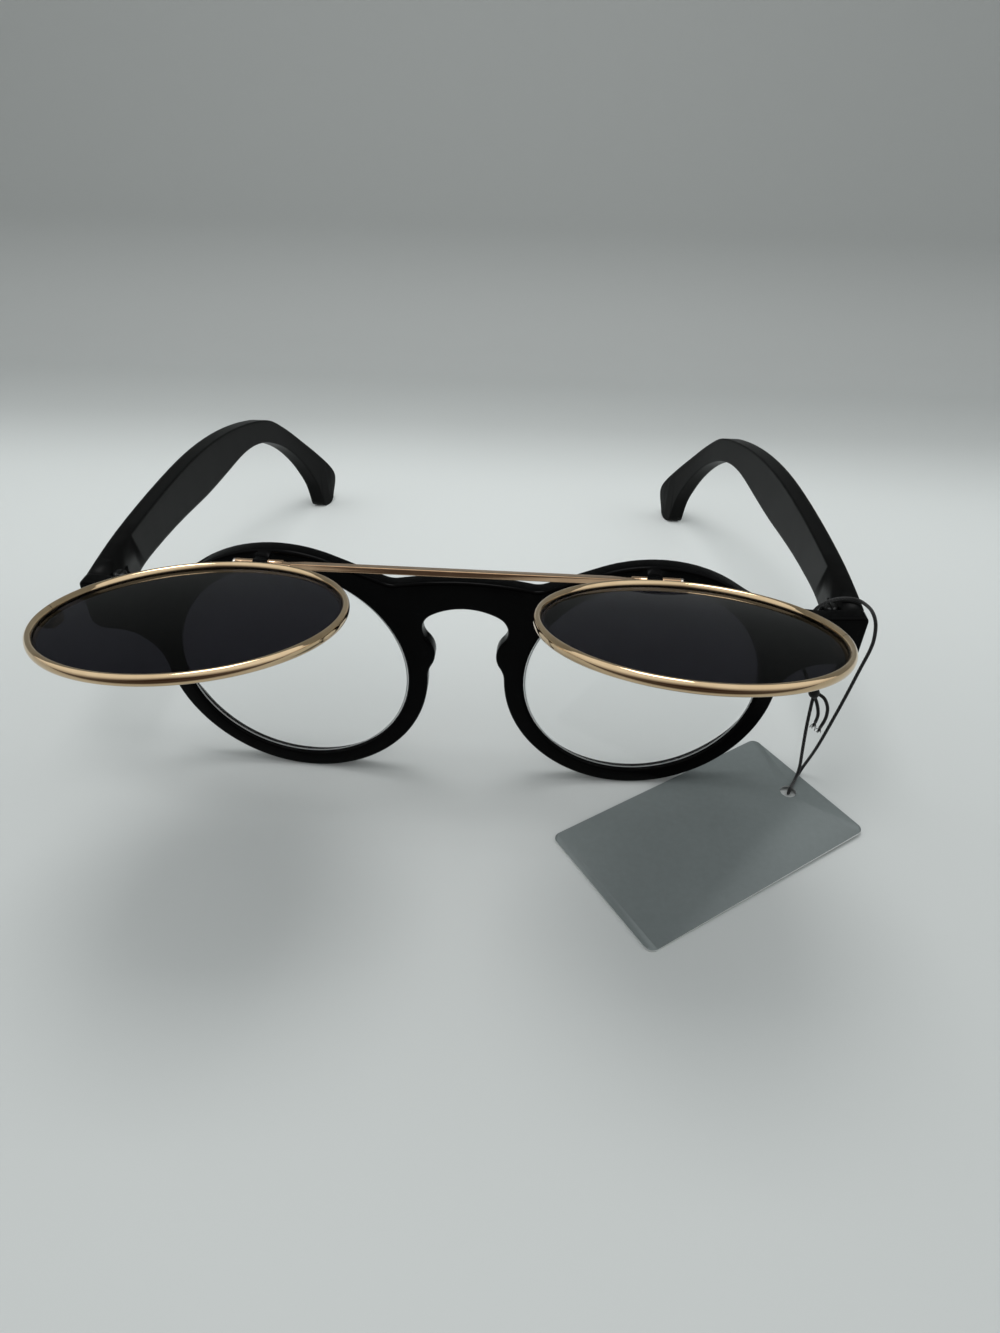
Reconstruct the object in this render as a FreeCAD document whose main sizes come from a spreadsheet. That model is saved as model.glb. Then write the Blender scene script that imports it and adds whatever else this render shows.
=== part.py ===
import FreeCAD, Part
import math
import os
import Sketcher

# Flip up sunglasses, standing open on a table with the tinted rims raised.
# Millimetres, +Z up, the front faces -Y, the temples run back to +Y, +X is the right side.
# The origin lies on the table under the middle of the glasses' box.

doc = FreeCAD.newDocument("FlipUpSunglasses")
V = FreeCAD.Vector

# ---------------------------------------------------------------- driving dimensions
DIMENSIONS = [
    # front: two round rims joined by a keyhole bridge, wrapped on a large radius
    ("lens_spacing", 66.2),
    ("rim_radius", 25.85),
    ("aperture_radius", 22.1),
    ("aperture_drop", 0.35),
    ("front_depth", 3.1),
    ("face_radius", 727.0),
    ("edge_round", 0.55),
    ("bridge_drop", 4.5),
    ("bridge_crown_radius", 61.0),
    ("bridge_rise_angle", 21.5),
    ("bridge_dip_radius", 4.5),
    ("bridge_height", 5.75),
    ("keyhole_relief", 2.15),
    ("keyhole_arch_excess", 4.15),
    ("keyhole_shoulder_radius", 3.6),
    ("nose_pad_proud", 1.55),
    ("nose_pad_rise", 5.15),
    ("nose_blend_radius", 6.0),
    # end pieces, where the temples are hinged
    ("end_reach", 13.45),
    ("end_rise", 15.65),
    ("end_height", 10.7),
    ("end_top_flat", 5.924),
    ("end_bottom_flat", 3.188),
    ("end_top_corner", 1.2),
    ("end_bottom_corner", 2.4),
    ("end_boss_width", 8.4),
    ("butt_plane", 6.7),
    # clear lenses in the front's grooves
    ("clear_thickness", 1.3),
    ("clear_base_radius", 360.0),
    ("groove_depth", 0.55),
    ("lens_clearance", 0.04),
    # temples
    ("temple_thickness", 3.4),
    ("temple_bow_radius", 373.0),
    ("temple_bow_crest", 17.0),
    ("curl_start", 98.0),
    ("curl_radius", 90.0),
    ("temple_reach", 120.4),
    ("tip_setback", 3.9),
    ("tip_round", 2.3),
    ("tip_end_angle", -13.0),
    ("tip_low_angle", -168.5),
    ("left_splay_angle", 0.8),
    ("right_splay_angle", -1.2),
    # temple hinges, moulded barrels with one screw each
    ("barrel_radius", 1.9),
    ("barrel_height", 7.2),
    ("barrel_set_down", 1.6),
    ("outer_knuckle", 2.1),
    ("hinge_clearance", 0.1),
    ("gusset_length", 7.0),
    ("temple_screw_radius", 0.7),
    ("temple_screw_head", 1.3),
    # flip unit: axis, rims, lenses, bar
    ("flip_axis_drop", 1.3),
    ("flip_axis_ahead", 1.93),
    ("flip_raise_angle", 104.4),
    ("flip_twist_angle", 1.8),
    ("flip_toe_angle", 1.4),
    ("flip_shift", -1.2),
    ("flip_rim_splay", 3.1),
    ("flip_rim_radius", 22.6),
    ("rim_wall", 1.18),
    ("rim_depth", 1.7),
    ("rim_crown", 0.22),
    ("rim_edge", 0.16),
    ("rim_drop", 1.0),
    ("rim_slit", 0.14),
    ("tint_thickness", 0.62),
    ("tint_edge_drop", 0.1),
    ("tint_base_radius", 300.0),
    ("tint_bite", 0.3),
    ("bar_end_inset", 3.85),
    ("bar_height", 1.7),
    ("bar_thickness", 1.16),
    ("bar_round", 0.2),
    ("bar_foot_length", 4.2),
    ("lug_gap", 2.6),
    ("lug_width", 2.3),
    ("knuckle_width", 3.0),
    ("knuckle_radius", 0.9),
    ("flip_screw_radius", 0.5),
    ("flip_screw_head", 0.85),
    ("running_clearance", 0.05),
    # rim locks behind the temporal ends of the flip rims
    ("lock_width", 1.5),
    ("lock_depth", 1.6),
    ("lock_wall", 1.5),
    ("lock_screw_radius", 0.4),
    ("lock_screw_head", 0.65),
    # swing tag and its string
    ("tag_length", 53.0),
    ("tag_width", 30.0),
    ("tag_thickness", 0.4),
    ("tag_corner", 1.6),
    ("tag_hole_radius", 1.6),
    ("tag_hole_inset", 5.2),
    ("tag_turn_angle", 34.7),
    ("tag_tilt_angle", 0.9),
    ("tag_set_right", 26.5),
    ("tag_set_ahead", 27.7),
    ("string_diameter", 0.65),
    ("knot_radius", 1.05),
]

sizes = doc.addObject("Spreadsheet::Sheet", "Sizes")
for row, (alias, value) in enumerate(DIMENSIONS, start=1):
    sizes.set("A%d" % row, alias.replace("_", " "))
    sizes.set("B%d" % row, repr(value))
    sizes.setAlias("B%d" % row, alias)
doc.recompute()


def size(alias):
    """The driving dimension of that name."""
    return float(sizes.get(alias))


def bind(obj, **expressions):
    """Ties properties of an object to the sheet."""
    for name, expression in expressions.items():
        obj.setExpression(name, expression)


def polar(centre, radius, angle):
    """The point at that radius and angle, in degrees, about a centre."""
    turn = math.radians(angle)
    return (centre[0] + radius * math.cos(turn), centre[1] + radius * math.sin(turn))


def bearing(centre, point):
    """The direction of a point from a centre, in degrees."""
    return math.degrees(math.atan2(point[1] - centre[1], point[0] - centre[0]))


def meet(first, first_radius, second, second_radius, turn):
    """One of the two points where two circles meet; turn is +1 or -1."""
    dx = second[0] - first[0]
    dy = second[1] - first[1]
    span = math.hypot(dx, dy)
    along = (first_radius**2 - second_radius**2 + span**2) / (2 * span)
    across = turn * math.sqrt(first_radius**2 - along**2)
    return (
        first[0] + (along * dx - across * dy) / span,
        first[1] + (along * dy + across * dx) / span,
    )


def heading(angle):
    """The unit direction at an angle, in degrees."""
    return V(math.cos(math.radians(angle)), math.sin(math.radians(angle)), 0)


def toward(centre, radius, point):
    """The point of a circle that faces another point."""
    return polar(centre, radius, bearing(centre, point))


# ---------------------------------------------------------------- values that follow from them
lens_x = size("lens_spacing") / 2
rim_r = size("rim_radius")
rim_centre = (lens_x, rim_r)
aperture_z = rim_r - size("aperture_drop")
front_r = size("face_radius")
front_t = size("front_depth")
end_x = lens_x + rim_r + size("end_reach")
end_z = rim_r + size("end_rise")
bridge_z = 2 * rim_r - size("bridge_drop")
keyhole_z = bridge_z - size("bridge_height")
end_low = end_z - size("end_height")
butt = size("butt_plane")


def face_y(x):
    """How far back the wrapped front face lies at x."""
    return front_r - math.sqrt(front_r**2 - x**2)


face_slope = math.degrees(math.asin(lens_x / front_r))

# the temple tips, which stand on the table, are the hindmost points
back_most = size("temple_reach")

# flip unit: the rims' near edges are the foremost points
flip_r = size("flip_rim_radius")
rim_reach = flip_r + size("rim_drop")
flip_y = -size("flip_axis_ahead")
flip_z = 2 * rim_r - size("flip_axis_drop")
flip_x = lens_x + size("flip_rim_splay")
low_raise = math.radians(size("flip_raise_angle") - size("flip_twist_angle"))
front_most = flip_y - (rim_reach + flip_r) * math.sin(low_raise)

# the origin is under the middle of the box, so the front plane lies ahead of it
ahead = V(0, -(front_most + back_most) / 2, 0)


def place(obj, base=V(0, 0, 0), rotation=FreeCAD.Rotation()):
    """Puts an object at a point of the front's own frame."""
    obj.Placement = FreeCAD.Placement(base + ahead, rotation)
    return obj


# ---------------------------------------------------------------- sketch helpers
def new_body(name):
    """A body for one sub-part."""
    return doc.addObject("PartDesign::Body", name)


def plane_of(body, role):
    """The body's own origin plane with that role."""
    for feature in body.Origin.OriginFeatures:
        if feature.Role == role:
            return feature
    raise ValueError(role)


def new_sketch(body, name, role, offset=0.0, expression=None):
    """A sketch on one of the body's origin planes, lifted along the plane's normal."""
    sketch = body.newObject("Sketcher::SketchObject", name)
    sketch.AttachmentSupport = [(plane_of(body, role), "")]
    sketch.MapMode = "FlatFace"
    sketch.AttachmentOffset = FreeCAD.Placement(V(0, 0, offset), FreeCAD.Rotation())
    if expression:
        sketch.setExpression("AttachmentOffset.Base.z", expression)
    return sketch


def straight(start, end):
    """A straight edge between two sketch points."""
    return Part.LineSegment(V(start[0], start[1], 0), V(end[0], end[1], 0))


def curve(centre, radius, start, end, direction):
    """An arc about a centre from one point to another; direction is +1 anticlockwise."""
    first = bearing(centre, start)
    last = bearing(centre, end)
    sweep = (last - first) * direction % 360
    middle = polar(centre, radius, first + direction * sweep / 2)
    return Part.Arc(V(start[0], start[1], 0), V(middle[0], middle[1], 0), V(end[0], end[1], 0))


def outline(sketch, edges):
    """Draws a closed outline, each edge joined to the next."""
    ids = sketch.addGeometry(edges, False)
    for here, there in zip(ids, ids[1:] + ids[:1]):
        ends = [(spot, sketch.getPoint(here, spot)) for spot in (1, 2)]
        starts = [(spot, sketch.getPoint(there, spot)) for spot in (1, 2)]
        pairs = [(a.distanceToPoint(b), i, j) for i, a in ends for j, b in starts]
        gap, spot, mate = min(pairs)
        sketch.addConstraint(Sketcher.Constraint("Coincident", here, spot, there, mate))
    return ids


def ring(sketch, x, y, radius_alias, x_expression=None, y_expression=None):
    """A circle whose radius and centre are bound to the sheet."""
    index = sketch.addGeometry(Part.Circle(V(x, y, 0), V(0, 0, 1), size(radius_alias)), False)
    radius = sketch.addConstraint(Sketcher.Constraint("Radius", index, size(radius_alias)))
    sketch.setExpression("Constraints[%d]" % radius, "Sizes." + radius_alias)
    for kind, place_at, expression in (("DistanceX", x, x_expression), ("DistanceY", y, y_expression)):
        if abs(place_at) < 1e-9:
            target = -2 if kind == "DistanceX" else -1
            sketch.addConstraint(Sketcher.Constraint("PointOnObject", index, 3, target))
            continue
        ends = (-1, 1, index, 3) if place_at > 0 else (index, 3, -1, 1)
        held = sketch.addConstraint(Sketcher.Constraint(kind, *ends, abs(place_at)))
        if expression:
            sketch.setExpression("Constraints[%d]" % held, expression)
    return index


def pad(body, sketch, expression, midplane=False, back=False):
    """Pads a sketch by a bound length."""
    feature = body.newObject("PartDesign::Pad", sketch.Name + "Pad")
    feature.Profile = sketch
    feature.Midplane = midplane
    feature.Reversed = back
    feature.setExpression("Length", expression)
    sketch.Visibility = False
    doc.recompute()
    return feature


def pocket(body, sketch, expression):
    """Cuts a sketch through both ways from its plane."""
    feature = body.newObject("PartDesign::Pocket", sketch.Name + "Cut")
    feature.Profile = sketch
    feature.Midplane = True
    before = body.Shape.Volume
    feature.setExpression("Length", expression)
    doc.recompute()
    if body.Shape.Volume >= before:
        raise ValueError(sketch.Name + " cuts nothing")
    return feature


def revolve(body, sketch):
    """Turns a sketch about its own vertical axis."""
    feature = body.newObject("PartDesign::Revolution", sketch.Name + "Turn")
    feature.Profile = sketch
    feature.ReferenceAxis = (sketch, ["V_Axis"])
    feature.Angle = 360
    doc.recompute()
    return feature


def soften(body, feature, faces, expression):
    """Rounds every edge of the named faces."""
    fillet = body.newObject("PartDesign::Fillet", feature.Name + "Round")
    fillet.Base = (feature, faces)
    fillet.setExpression("Radius", expression)
    doc.recompute()
    return fillet


def cylinder(name, radius, length, base, axis):
    """A bound cylinder that starts at base and runs along an axis of the front's frame."""
    tool = doc.addObject("Part::Cylinder", name)
    bind(tool, Radius=radius, Height=length)
    return place(tool, base, FreeCAD.Rotation(V(0, 0, 1), axis))


def box(name, low, high):
    """A block between two corners of the front's frame."""
    tool = doc.addObject("Part::Box", name)
    tool.Length = high[0] - low[0]
    tool.Width = high[1] - low[1]
    tool.Height = high[2] - low[2]
    return place(tool, V(*low))


def fuse(name, shapes):
    """Joins shapes that are one moulding."""
    joined = doc.addObject("Part::MultiFuse", name)
    joined.Shapes = shapes
    joined.Refine = True
    return joined


def cut(name, base, tool):
    """Takes one shape from another."""
    result = doc.addObject("Part::Cut", name)
    result.Base = base
    result.Tool = tool
    result.Refine = True
    return result


nodes = {}


def finish(node, obj):
    """Names a finished sub-part."""
    obj.Label = node
    nodes[node] = obj
    return obj


SIDES = (("left", -1), ("right", 1))


# ---------------------------------------------------------------- the front's outline
def blend_radius(reach, rise):
    """The radius of a hollow blend that leaves the rim's circle and ends level, reach and rise off its centre."""
    return (reach**2 + rise**2 - rim_r**2) / (2 * (rim_r - rise))


def half_outline():
    """The right half of the front's outline, from the bridge's crown round to the keyhole's crown."""
    crown = size("bridge_crown_radius")
    crown_centre = (0.0, bridge_z - crown)
    rise = math.radians(size("bridge_rise_angle"))
    along = (math.cos(rise), math.sin(rise))
    up = (-math.sin(rise), math.cos(rise))
    shoulder_end = (lens_x + rim_r * up[0], rim_r + rim_r * up[1])

    # the dip: a hollow arc between the crown and the straight rise to the rim
    dip = size("bridge_dip_radius")
    start = (shoulder_end[0] + dip * up[0], shoulder_end[1] + dip * up[1])
    offset = (start[0] - crown_centre[0], start[1] - crown_centre[1])
    half = offset[0] * along[0] + offset[1] * along[1]
    rest = offset[0] ** 2 + offset[1] ** 2 - (crown + dip) ** 2
    back = half - math.sqrt(half**2 - rest)
    dip_centre = (start[0] - back * along[0], start[1] - back * along[1])
    dip_start = toward(crown_centre, crown, dip_centre)
    dip_end = (dip_centre[0] - dip * up[0], dip_centre[1] - dip * up[1])

    # end piece: long hollow blend on top, short one below, rounded corners
    upper = size("end_top_corner")
    lower = size("end_bottom_corner")
    top_x = end_x - upper - size("end_top_flat")
    top_r = blend_radius(top_x - lens_x, end_z - rim_r)
    top_centre = (top_x, end_z + top_r)
    low_x = end_x - lower - size("end_bottom_flat")
    low_r = blend_radius(low_x - lens_x, rim_r - end_low)
    low_centre = (low_x, end_low - low_r)

    # nose: the pad's bulge touches the keyhole's shoulder, and blends into the rim below
    shoulder_r = size("keyhole_shoulder_radius")
    neck = lens_x - rim_r - size("nose_pad_proud")
    arch = neck + size("keyhole_relief") + size("keyhole_arch_excess")
    arch_centre = (0.0, keyhole_z - arch)
    shoulder_x = neck + size("keyhole_relief") - shoulder_r
    shoulder_z = arch_centre[1] + math.sqrt((arch - shoulder_r) ** 2 - shoulder_x**2)
    shoulder_centre = (shoulder_x, shoulder_z)
    pad_z = rim_r + size("nose_pad_rise")
    run = neck - shoulder_x
    fall = shoulder_z - pad_z
    pad_r = (run**2 + fall**2 - shoulder_r**2) / (2 * (shoulder_r - run))
    pad_centre = (neck + pad_r, pad_z)
    blend = size("nose_blend_radius")
    blend_centre = meet(rim_centre, rim_r + blend, pad_centre, pad_r + blend, 1)

    points = {
        "crown": (0.0, bridge_z),
        "dip_start": dip_start,
        "dip_end": dip_end,
        "rim_top": shoulder_end,
        "blend_top": toward(rim_centre, rim_r, top_centre),
        "end_top": (top_centre[0], end_z),
        "corner_a": (end_x - upper, end_z),
        "corner_b": (end_x, end_z - upper),
        "corner_c": (end_x, end_low + lower),
        "corner_d": (end_x - lower, end_low),
        "end_low": (low_centre[0], end_low),
        "blend_low": toward(rim_centre, rim_r, low_centre),
        "nose_low": toward(rim_centre, rim_r, blend_centre),
        "nose_pad": toward(pad_centre, pad_r, blend_centre),
        "shoulder": toward(pad_centre, pad_r, shoulder_centre),
        "arch": polar(arch_centre, arch, bearing(arch_centre, shoulder_centre)),
        "keyhole": (0.0, keyhole_z),
    }
    p = points
    return [
        (crown_centre, crown, p["crown"], p["dip_start"], -1),
        (dip_centre, dip, p["dip_start"], p["dip_end"], 1),
        (None, 0, p["dip_end"], p["rim_top"], 0),
        (rim_centre, rim_r, p["rim_top"], p["blend_top"], -1),
        (top_centre, top_r, p["blend_top"], p["end_top"], 1),
        (None, 0, p["end_top"], p["corner_a"], 0),
        ((end_x - upper, end_z - upper), upper, p["corner_a"], p["corner_b"], -1),
        (None, 0, p["corner_b"], p["corner_c"], 0),
        ((end_x - lower, end_low + lower), lower, p["corner_c"], p["corner_d"], -1),
        (None, 0, p["corner_d"], p["end_low"], 0),
        (low_centre, low_r, p["end_low"], p["blend_low"], 1),
        (rim_centre, rim_r, p["blend_low"], p["nose_low"], -1),
        (blend_centre, blend, p["nose_low"], p["nose_pad"], 1),
        (pad_centre, pad_r, p["nose_pad"], p["shoulder"], -1),
        (shoulder_centre, shoulder_r, p["shoulder"], p["arch"], 1),
        (arch_centre, arch, p["arch"], p["keyhole"], 1),
    ]


def mirrored(edge):
    """The same edge on the left half, drawn the other way."""
    centre, radius, start, end, direction = edge
    flip = (-centre[0], centre[1]) if centre else None
    return (flip, radius, (-end[0], end[1]), (-start[0], start[1]), direction)


def drawn(edge):
    """The sketch edge of an outline entry."""
    centre, radius, start, end, direction = edge
    return straight(start, end) if centre is None else curve(centre, radius, start, end, direction)


# ---------------------------------------------------------------- front frame
front = new_body("Front")
front_sketch = new_sketch(front, "FrontOutline", "XZ_Plane")
right_half = half_outline()
outline(front_sketch, [drawn(e) for e in right_half + [mirrored(e) for e in reversed(right_half)]])
pad(front, front_sketch, "4 * Sizes.butt_plane", midplane=True)

apertures = new_sketch(front, "Apertures", "XZ_Plane")
for name, side in SIDES:
    ring(
        apertures,
        side * lens_x,
        aperture_z,
        "aperture_radius",
        "Sizes.lens_spacing / 2",
        "Sizes.rim_radius - Sizes.aperture_drop",
    )
pocket(front, apertures, "5 * Sizes.butt_plane")

# the front and back faces are cut to the wrap
margin = end_x + front_t
for label, start, far in (("FaceWrap", 0.0, -4 * butt), ("BackWrap", front_t, 4 * butt)):
    arc_centre = (0.0, front_r)
    radius = front_r - start
    sweep = math.degrees(math.asin(margin / radius))
    left_end = polar(arc_centre, radius, -90 - sweep)
    right_end = polar(arc_centre, radius, -90 + sweep)
    wrap = new_sketch(front, label, "XY_Plane")
    outline(
        wrap,
        [
            curve(arc_centre, radius, left_end, right_end, 1),
            straight(right_end, (margin, far)),
            straight((margin, far), (-margin, far)),
            straight((-margin, far), left_end),
        ],
    )
    pocket(front, wrap, "5 * Sizes.rim_radius")


def wrapped_faces(feature):
    """The two faces of the front that follow the wrap."""
    found = []
    for number, face in enumerate(feature.Shape.Faces, start=1):
        surface = face.Surface
        if isinstance(surface, Part.Cylinder) and surface.Radius > 0.8 * (front_r - front_t):
            found.append("Face%d" % number)
    return found


soften(front, front.Tip, wrapped_faces(front.Tip), "Sizes.edge_round")
place(front)

# grooves that hold the clear lenses, square to the wrap at each lens centre
clear_seat_y = face_y(lens_x) + front_t / 2
clear_r = size("aperture_radius") + size("groove_depth") - size("lens_clearance")
additions = [front]
removals = []
lens_turn = {}
for name, side in SIDES:
    lens_turn[side] = FreeCAD.Rotation(V(0, 0, 1), side * face_slope)
    forward = lens_turn[side].multVec(V(0, -1, 0))
    width = size("clear_thickness") / 2 + size("lens_clearance")
    groove = cylinder(
        "LensGroove_" + name,
        "Sizes.aperture_radius + Sizes.groove_depth",
        "Sizes.clear_thickness + 2 * Sizes.lens_clearance",
        V(side * lens_x, clear_seat_y, aperture_z) - forward * width,
        forward,
    )
    removals.append(groove)

# temple hinge: a boss on the back of each end piece carries two barrels
barrel_r = size("barrel_radius")
gap = size("hinge_clearance")
temple_t = size("temple_thickness")
pin_x = end_x - temple_t - gap - 2 * gap - barrel_r
pin_y = butt + gap + barrel_r
barrel_top = end_z - size("barrel_set_down")
barrel_low = barrel_top - size("barrel_height")
outer_h = size("outer_knuckle")
boss_x = end_x - size("end_boss_width")
for name, side in SIDES:
    outer = side * (end_x - size("end_top_corner") / 2)
    inner = side * boss_x
    additions.append(
        box(
            "EndBoss_" + name,
            (min(inner, outer), face_y(boss_x) + front_t / 2, end_low + size("edge_round")),
            (max(inner, outer), butt, end_z - size("edge_round")),
        )
    )
    for label, low in (("Top", barrel_top - outer_h), ("Low", barrel_low)):
        knuckle = cylinder(
            "FrontKnuckle%s_%s" % (label, name),
            "Sizes.barrel_radius",
            "Sizes.outer_knuckle",
            V(side * pin_x, pin_y, low),
            V(0, 0, 1),
        )
        web_x = (side * pin_x - barrel_r, side * pin_x + barrel_r)
        web = box(
            "FrontWeb%s_%s" % (label, name),
            (web_x[0], butt - 1, low),
            (web_x[1], pin_y, low + outer_h),
        )
        additions += [knuckle, web]
    removals.append(
        cylinder(
            "TempleScrewBore_" + name,
            "Sizes.temple_screw_radius + Sizes.running_clearance",
            "Sizes.barrel_height + 2",
            V(side * pin_x, pin_y, barrel_low - 1),
            V(0, 0, 1),
        )
    )

# flip hinge: one lug on the top of each rim
shift = size("flip_shift")
bar_x = flip_x - size("bar_end_inset")
lug_mid = bar_x + size("lug_gap") / 2
lug_w = size("lug_width")
lug_r = size("knuckle_radius")
for name, side in SIDES:
    low_x = shift + side * lug_mid - lug_w / 2
    root_y = face_y(lug_mid) + front_t / 2
    additions.append(
        cylinder(
            "LugNose_" + name, "Sizes.knuckle_radius", "Sizes.lug_width", V(low_x, flip_y, flip_z), V(1, 0, 0)
        )
    )
    additions.append(
        box("LugRoot_" + name, (low_x, flip_y, flip_z - lug_r), (low_x + lug_w, root_y, flip_z + lug_r))
    )
    removals.append(
        cylinder(
            "LugBore_" + name,
            "Sizes.flip_screw_radius + Sizes.running_clearance",
            "Sizes.lug_width + 2",
            V(low_x - 1, flip_y, flip_z),
            V(1, 0, 0),
        )
    )

finish("front_frame", cut("FrontFrame", fuse("FrontSolid", additions), fuse("FrontCuts", removals)))


# ---------------------------------------------------------------- lenses
def lens_sketch(body, name, radius, flat_radius, thickness, base_radius):
    """Half section of a domed lens with a V edge, from its axis outwards; its front is +Z."""
    sketch = new_sketch(body, name, "XZ_Plane")
    sag = base_radius - math.sqrt(base_radius**2 - flat_radius**2)
    front_edge = (flat_radius, thickness / 2)
    back_edge = (flat_radius, -thickness / 2)
    front_pole = (0.0, thickness / 2 + sag)
    back_pole = (0.0, -thickness / 2 + sag)
    rim_point = (radius, 0.0)
    front_centre = (0.0, front_pole[1] - base_radius)
    back_centre = (0.0, back_pole[1] - base_radius)
    outline(
        sketch,
        [
            straight(back_pole, front_pole),
            curve(front_centre, base_radius, front_pole, front_edge, -1),
            straight(front_edge, rim_point),
            straight(rim_point, back_edge),
            curve(back_centre, base_radius, back_edge, back_pole, 1),
        ],
    )
    return sketch


facing = FreeCAD.Rotation(V(1, 0, 0), 90)
for name, side in SIDES:
    clear = new_body("ClearLens_" + name)
    profile = lens_sketch(
        clear,
        "ClearSection_" + name,
        clear_r,
        size("aperture_radius") - size("lens_clearance"),
        size("clear_thickness"),
        size("clear_base_radius"),
    )
    revolve(clear, profile)
    place(clear, V(side * lens_x, clear_seat_y, aperture_z), lens_turn[side].multiply(facing))
    finish("clear_lens_" + name, clear)


# ---------------------------------------------------------------- temples
# side view of a temple, as shares of its reach from the front's face and of the end pieces' height
TEMPLE_TOP = [
    (0.0565, 0.9880),
    (0.1495, 1.0084),
    (0.2658, 1.0229),
    (0.3821, 1.0349),
    (0.4734, 1.0386),
    (0.5482, 1.0277),
    (0.6146, 1.0048),
    (0.6811, 0.9675),
    (0.7359, 0.9253),
    (0.7757, 0.8819),
    (0.8148, 0.8072),
    (0.8538, 0.7133),
    (0.8929, 0.6024),
    (0.9327, 0.4819),
    (0.9639, 0.3759),
    (0.9867, 0.2867),
    (0.9992, 0.2024),
]
TEMPLE_LOW = [
    (0.9369, 0.1976),
    (0.9199, 0.3036),
    (0.8970, 0.4145),
    (0.8696, 0.5157),
    (0.8339, 0.6169),
    (0.7907, 0.7036),
    (0.7442, 0.7687),
    (0.6968, 0.8048),
    (0.6395, 0.8133),
    (0.5814, 0.8000),
    (0.5316, 0.7904),
    (0.4734, 0.7855),
    (0.3987, 0.7952),
    (0.3156, 0.8072),
    (0.2326, 0.8145),
    (0.1495, 0.8024),
    (0.0997, 0.7783),
    (0.0565, 0.7422),
]


def temple_side(sketch):
    """Side view of the temple: a slight crown, a waist, a bend and a tip that widens to a rounded end."""
    top = [V(along * back_most, up * end_z, 0) for along, up in TEMPLE_TOP]
    low = [V(along * back_most, up * end_z, 0) for along, up in TEMPLE_LOW]
    corner = size("tip_round")
    tip = (back_most - size("tip_setback"), corner)
    into = size("tip_end_angle")
    out = size("tip_low_angle")
    tip_start = polar(tip, corner, into)
    tip_end = polar(tip, corner, out)
    upper = Part.BSplineCurve()
    upper.interpolate(Points=top + [V(*tip_start, 0)], FinalTangent=heading(into - 90), InitialTangent=top[1] - top[0])
    lower = Part.BSplineCurve()
    lower.interpolate(Points=[V(*tip_end, 0)] + low, InitialTangent=heading(out - 90), FinalTangent=low[-1] - low[-2])
    outline(
        sketch,
        [upper, curve(tip, corner, tip_start, tip_end, -1), lower, straight((low[-1].x, low[-1].y), (top[0].x, top[0].y))],
    )


def temple_plan(sketch):
    """Everything beside the temple in plan: it bows outwards and curls in at the tip."""
    bow = size("temple_bow_radius")
    curl = size("curl_radius")
    crest = size("temple_bow_crest")
    outer_x = end_x - gap
    bow_centre = (outer_x - bow, crest)
    turn = math.degrees(math.asin((size("curl_start") - crest) / bow))
    curl_centre = polar(bow_centre, bow - curl, turn)
    reach = math.degrees(math.asin((back_most + temple_t - curl_centre[1]) / curl))
    strip = []
    for inset in (0.0, temple_t):
        front_turn = math.degrees(math.asin((butt - crest) / (bow - inset)))
        first = polar(bow_centre, bow - inset, front_turn)
        middle = polar(bow_centre, bow - inset, turn)
        last = polar(curl_centre, curl - inset, reach)
        strip.append((first, middle, last, bow - inset, curl - inset))
    (a, b, c, outer_bow, outer_curl), (d, e, f, inner_bow, inner_curl) = strip
    beyond = 6 * temple_t
    far = (end_x + beyond, back_most + beyond)
    near = (-temple_t, -beyond)
    outline(
        sketch,
        [
            straight(near, (far[0], near[1])),
            straight((far[0], near[1]), far),
            straight(far, (near[0], far[1])),
            straight((near[0], far[1]), near),
        ],
    )
    outline(
        sketch,
        [
            curve(bow_centre, outer_bow, a, b, 1),
            curve(curl_centre, outer_curl, b, c, 1),
            straight(c, f),
            curve(curl_centre, inner_curl, f, e, -1),
            curve(bow_centre, inner_bow, e, d, -1),
            straight(d, a),
        ],
    )


temple = new_body("Temple")
side_view = new_sketch(temple, "TempleSide", "YZ_Plane")
temple_side(side_view)
pad(temple, side_view, "Sizes.lens_spacing / 2 + 2 * Sizes.rim_radius")
plan_view = new_sketch(temple, "TemplePlan", "XY_Plane")
temple_plan(plan_view)
pocket(temple, plan_view, "5 * Sizes.rim_radius")


place(temple)

# the temple's barrel, with a wedge that runs back along its inner face
inner_h = size("barrel_height") - 2 * outer_h - 2 * gap
inner_low = barrel_low + outer_h + gap
face_x = end_x - gap - temple_t
temple_barrel = cylinder(
    "TempleBarrel", "Sizes.barrel_radius", "Sizes.barrel_height", V(pin_x, pin_y, barrel_low), V(0, 0, 1)
)
temple_barrel.setExpression("Height", "Sizes.barrel_height - 2 * Sizes.outer_knuckle - 2 * Sizes.hinge_clearance")
place(temple_barrel, V(pin_x, pin_y, inner_low))
gusset = new_body("TempleGusset")
gusset_plan = new_sketch(gusset, "GussetPlan", "XY_Plane")
inside = face_x + temple_t / 2
outline(
    gusset_plan,
    [
        straight((pin_x, pin_y - barrel_r), (inside, pin_y - barrel_r)),
        straight((inside, pin_y - barrel_r), (inside, pin_y + size("gusset_length"))),
        straight((inside, pin_y + size("gusset_length")), (face_x - 0.2, pin_y + size("gusset_length"))),
        straight((face_x - 0.2, pin_y + size("gusset_length")), (pin_x - barrel_r, pin_y)),
        straight((pin_x - barrel_r, pin_y), (pin_x, pin_y - barrel_r)),
    ],
)
pad(gusset, gusset_plan, "Sizes.barrel_height - 2 * Sizes.outer_knuckle - 2 * Sizes.hinge_clearance")
place(gusset, V(0, 0, inner_low))
temple_bore = cylinder(
    "TempleBore",
    "Sizes.temple_screw_radius + Sizes.running_clearance",
    "Sizes.barrel_height",
    V(pin_x, pin_y, barrel_low),
    V(0, 0, 1),
)


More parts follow.
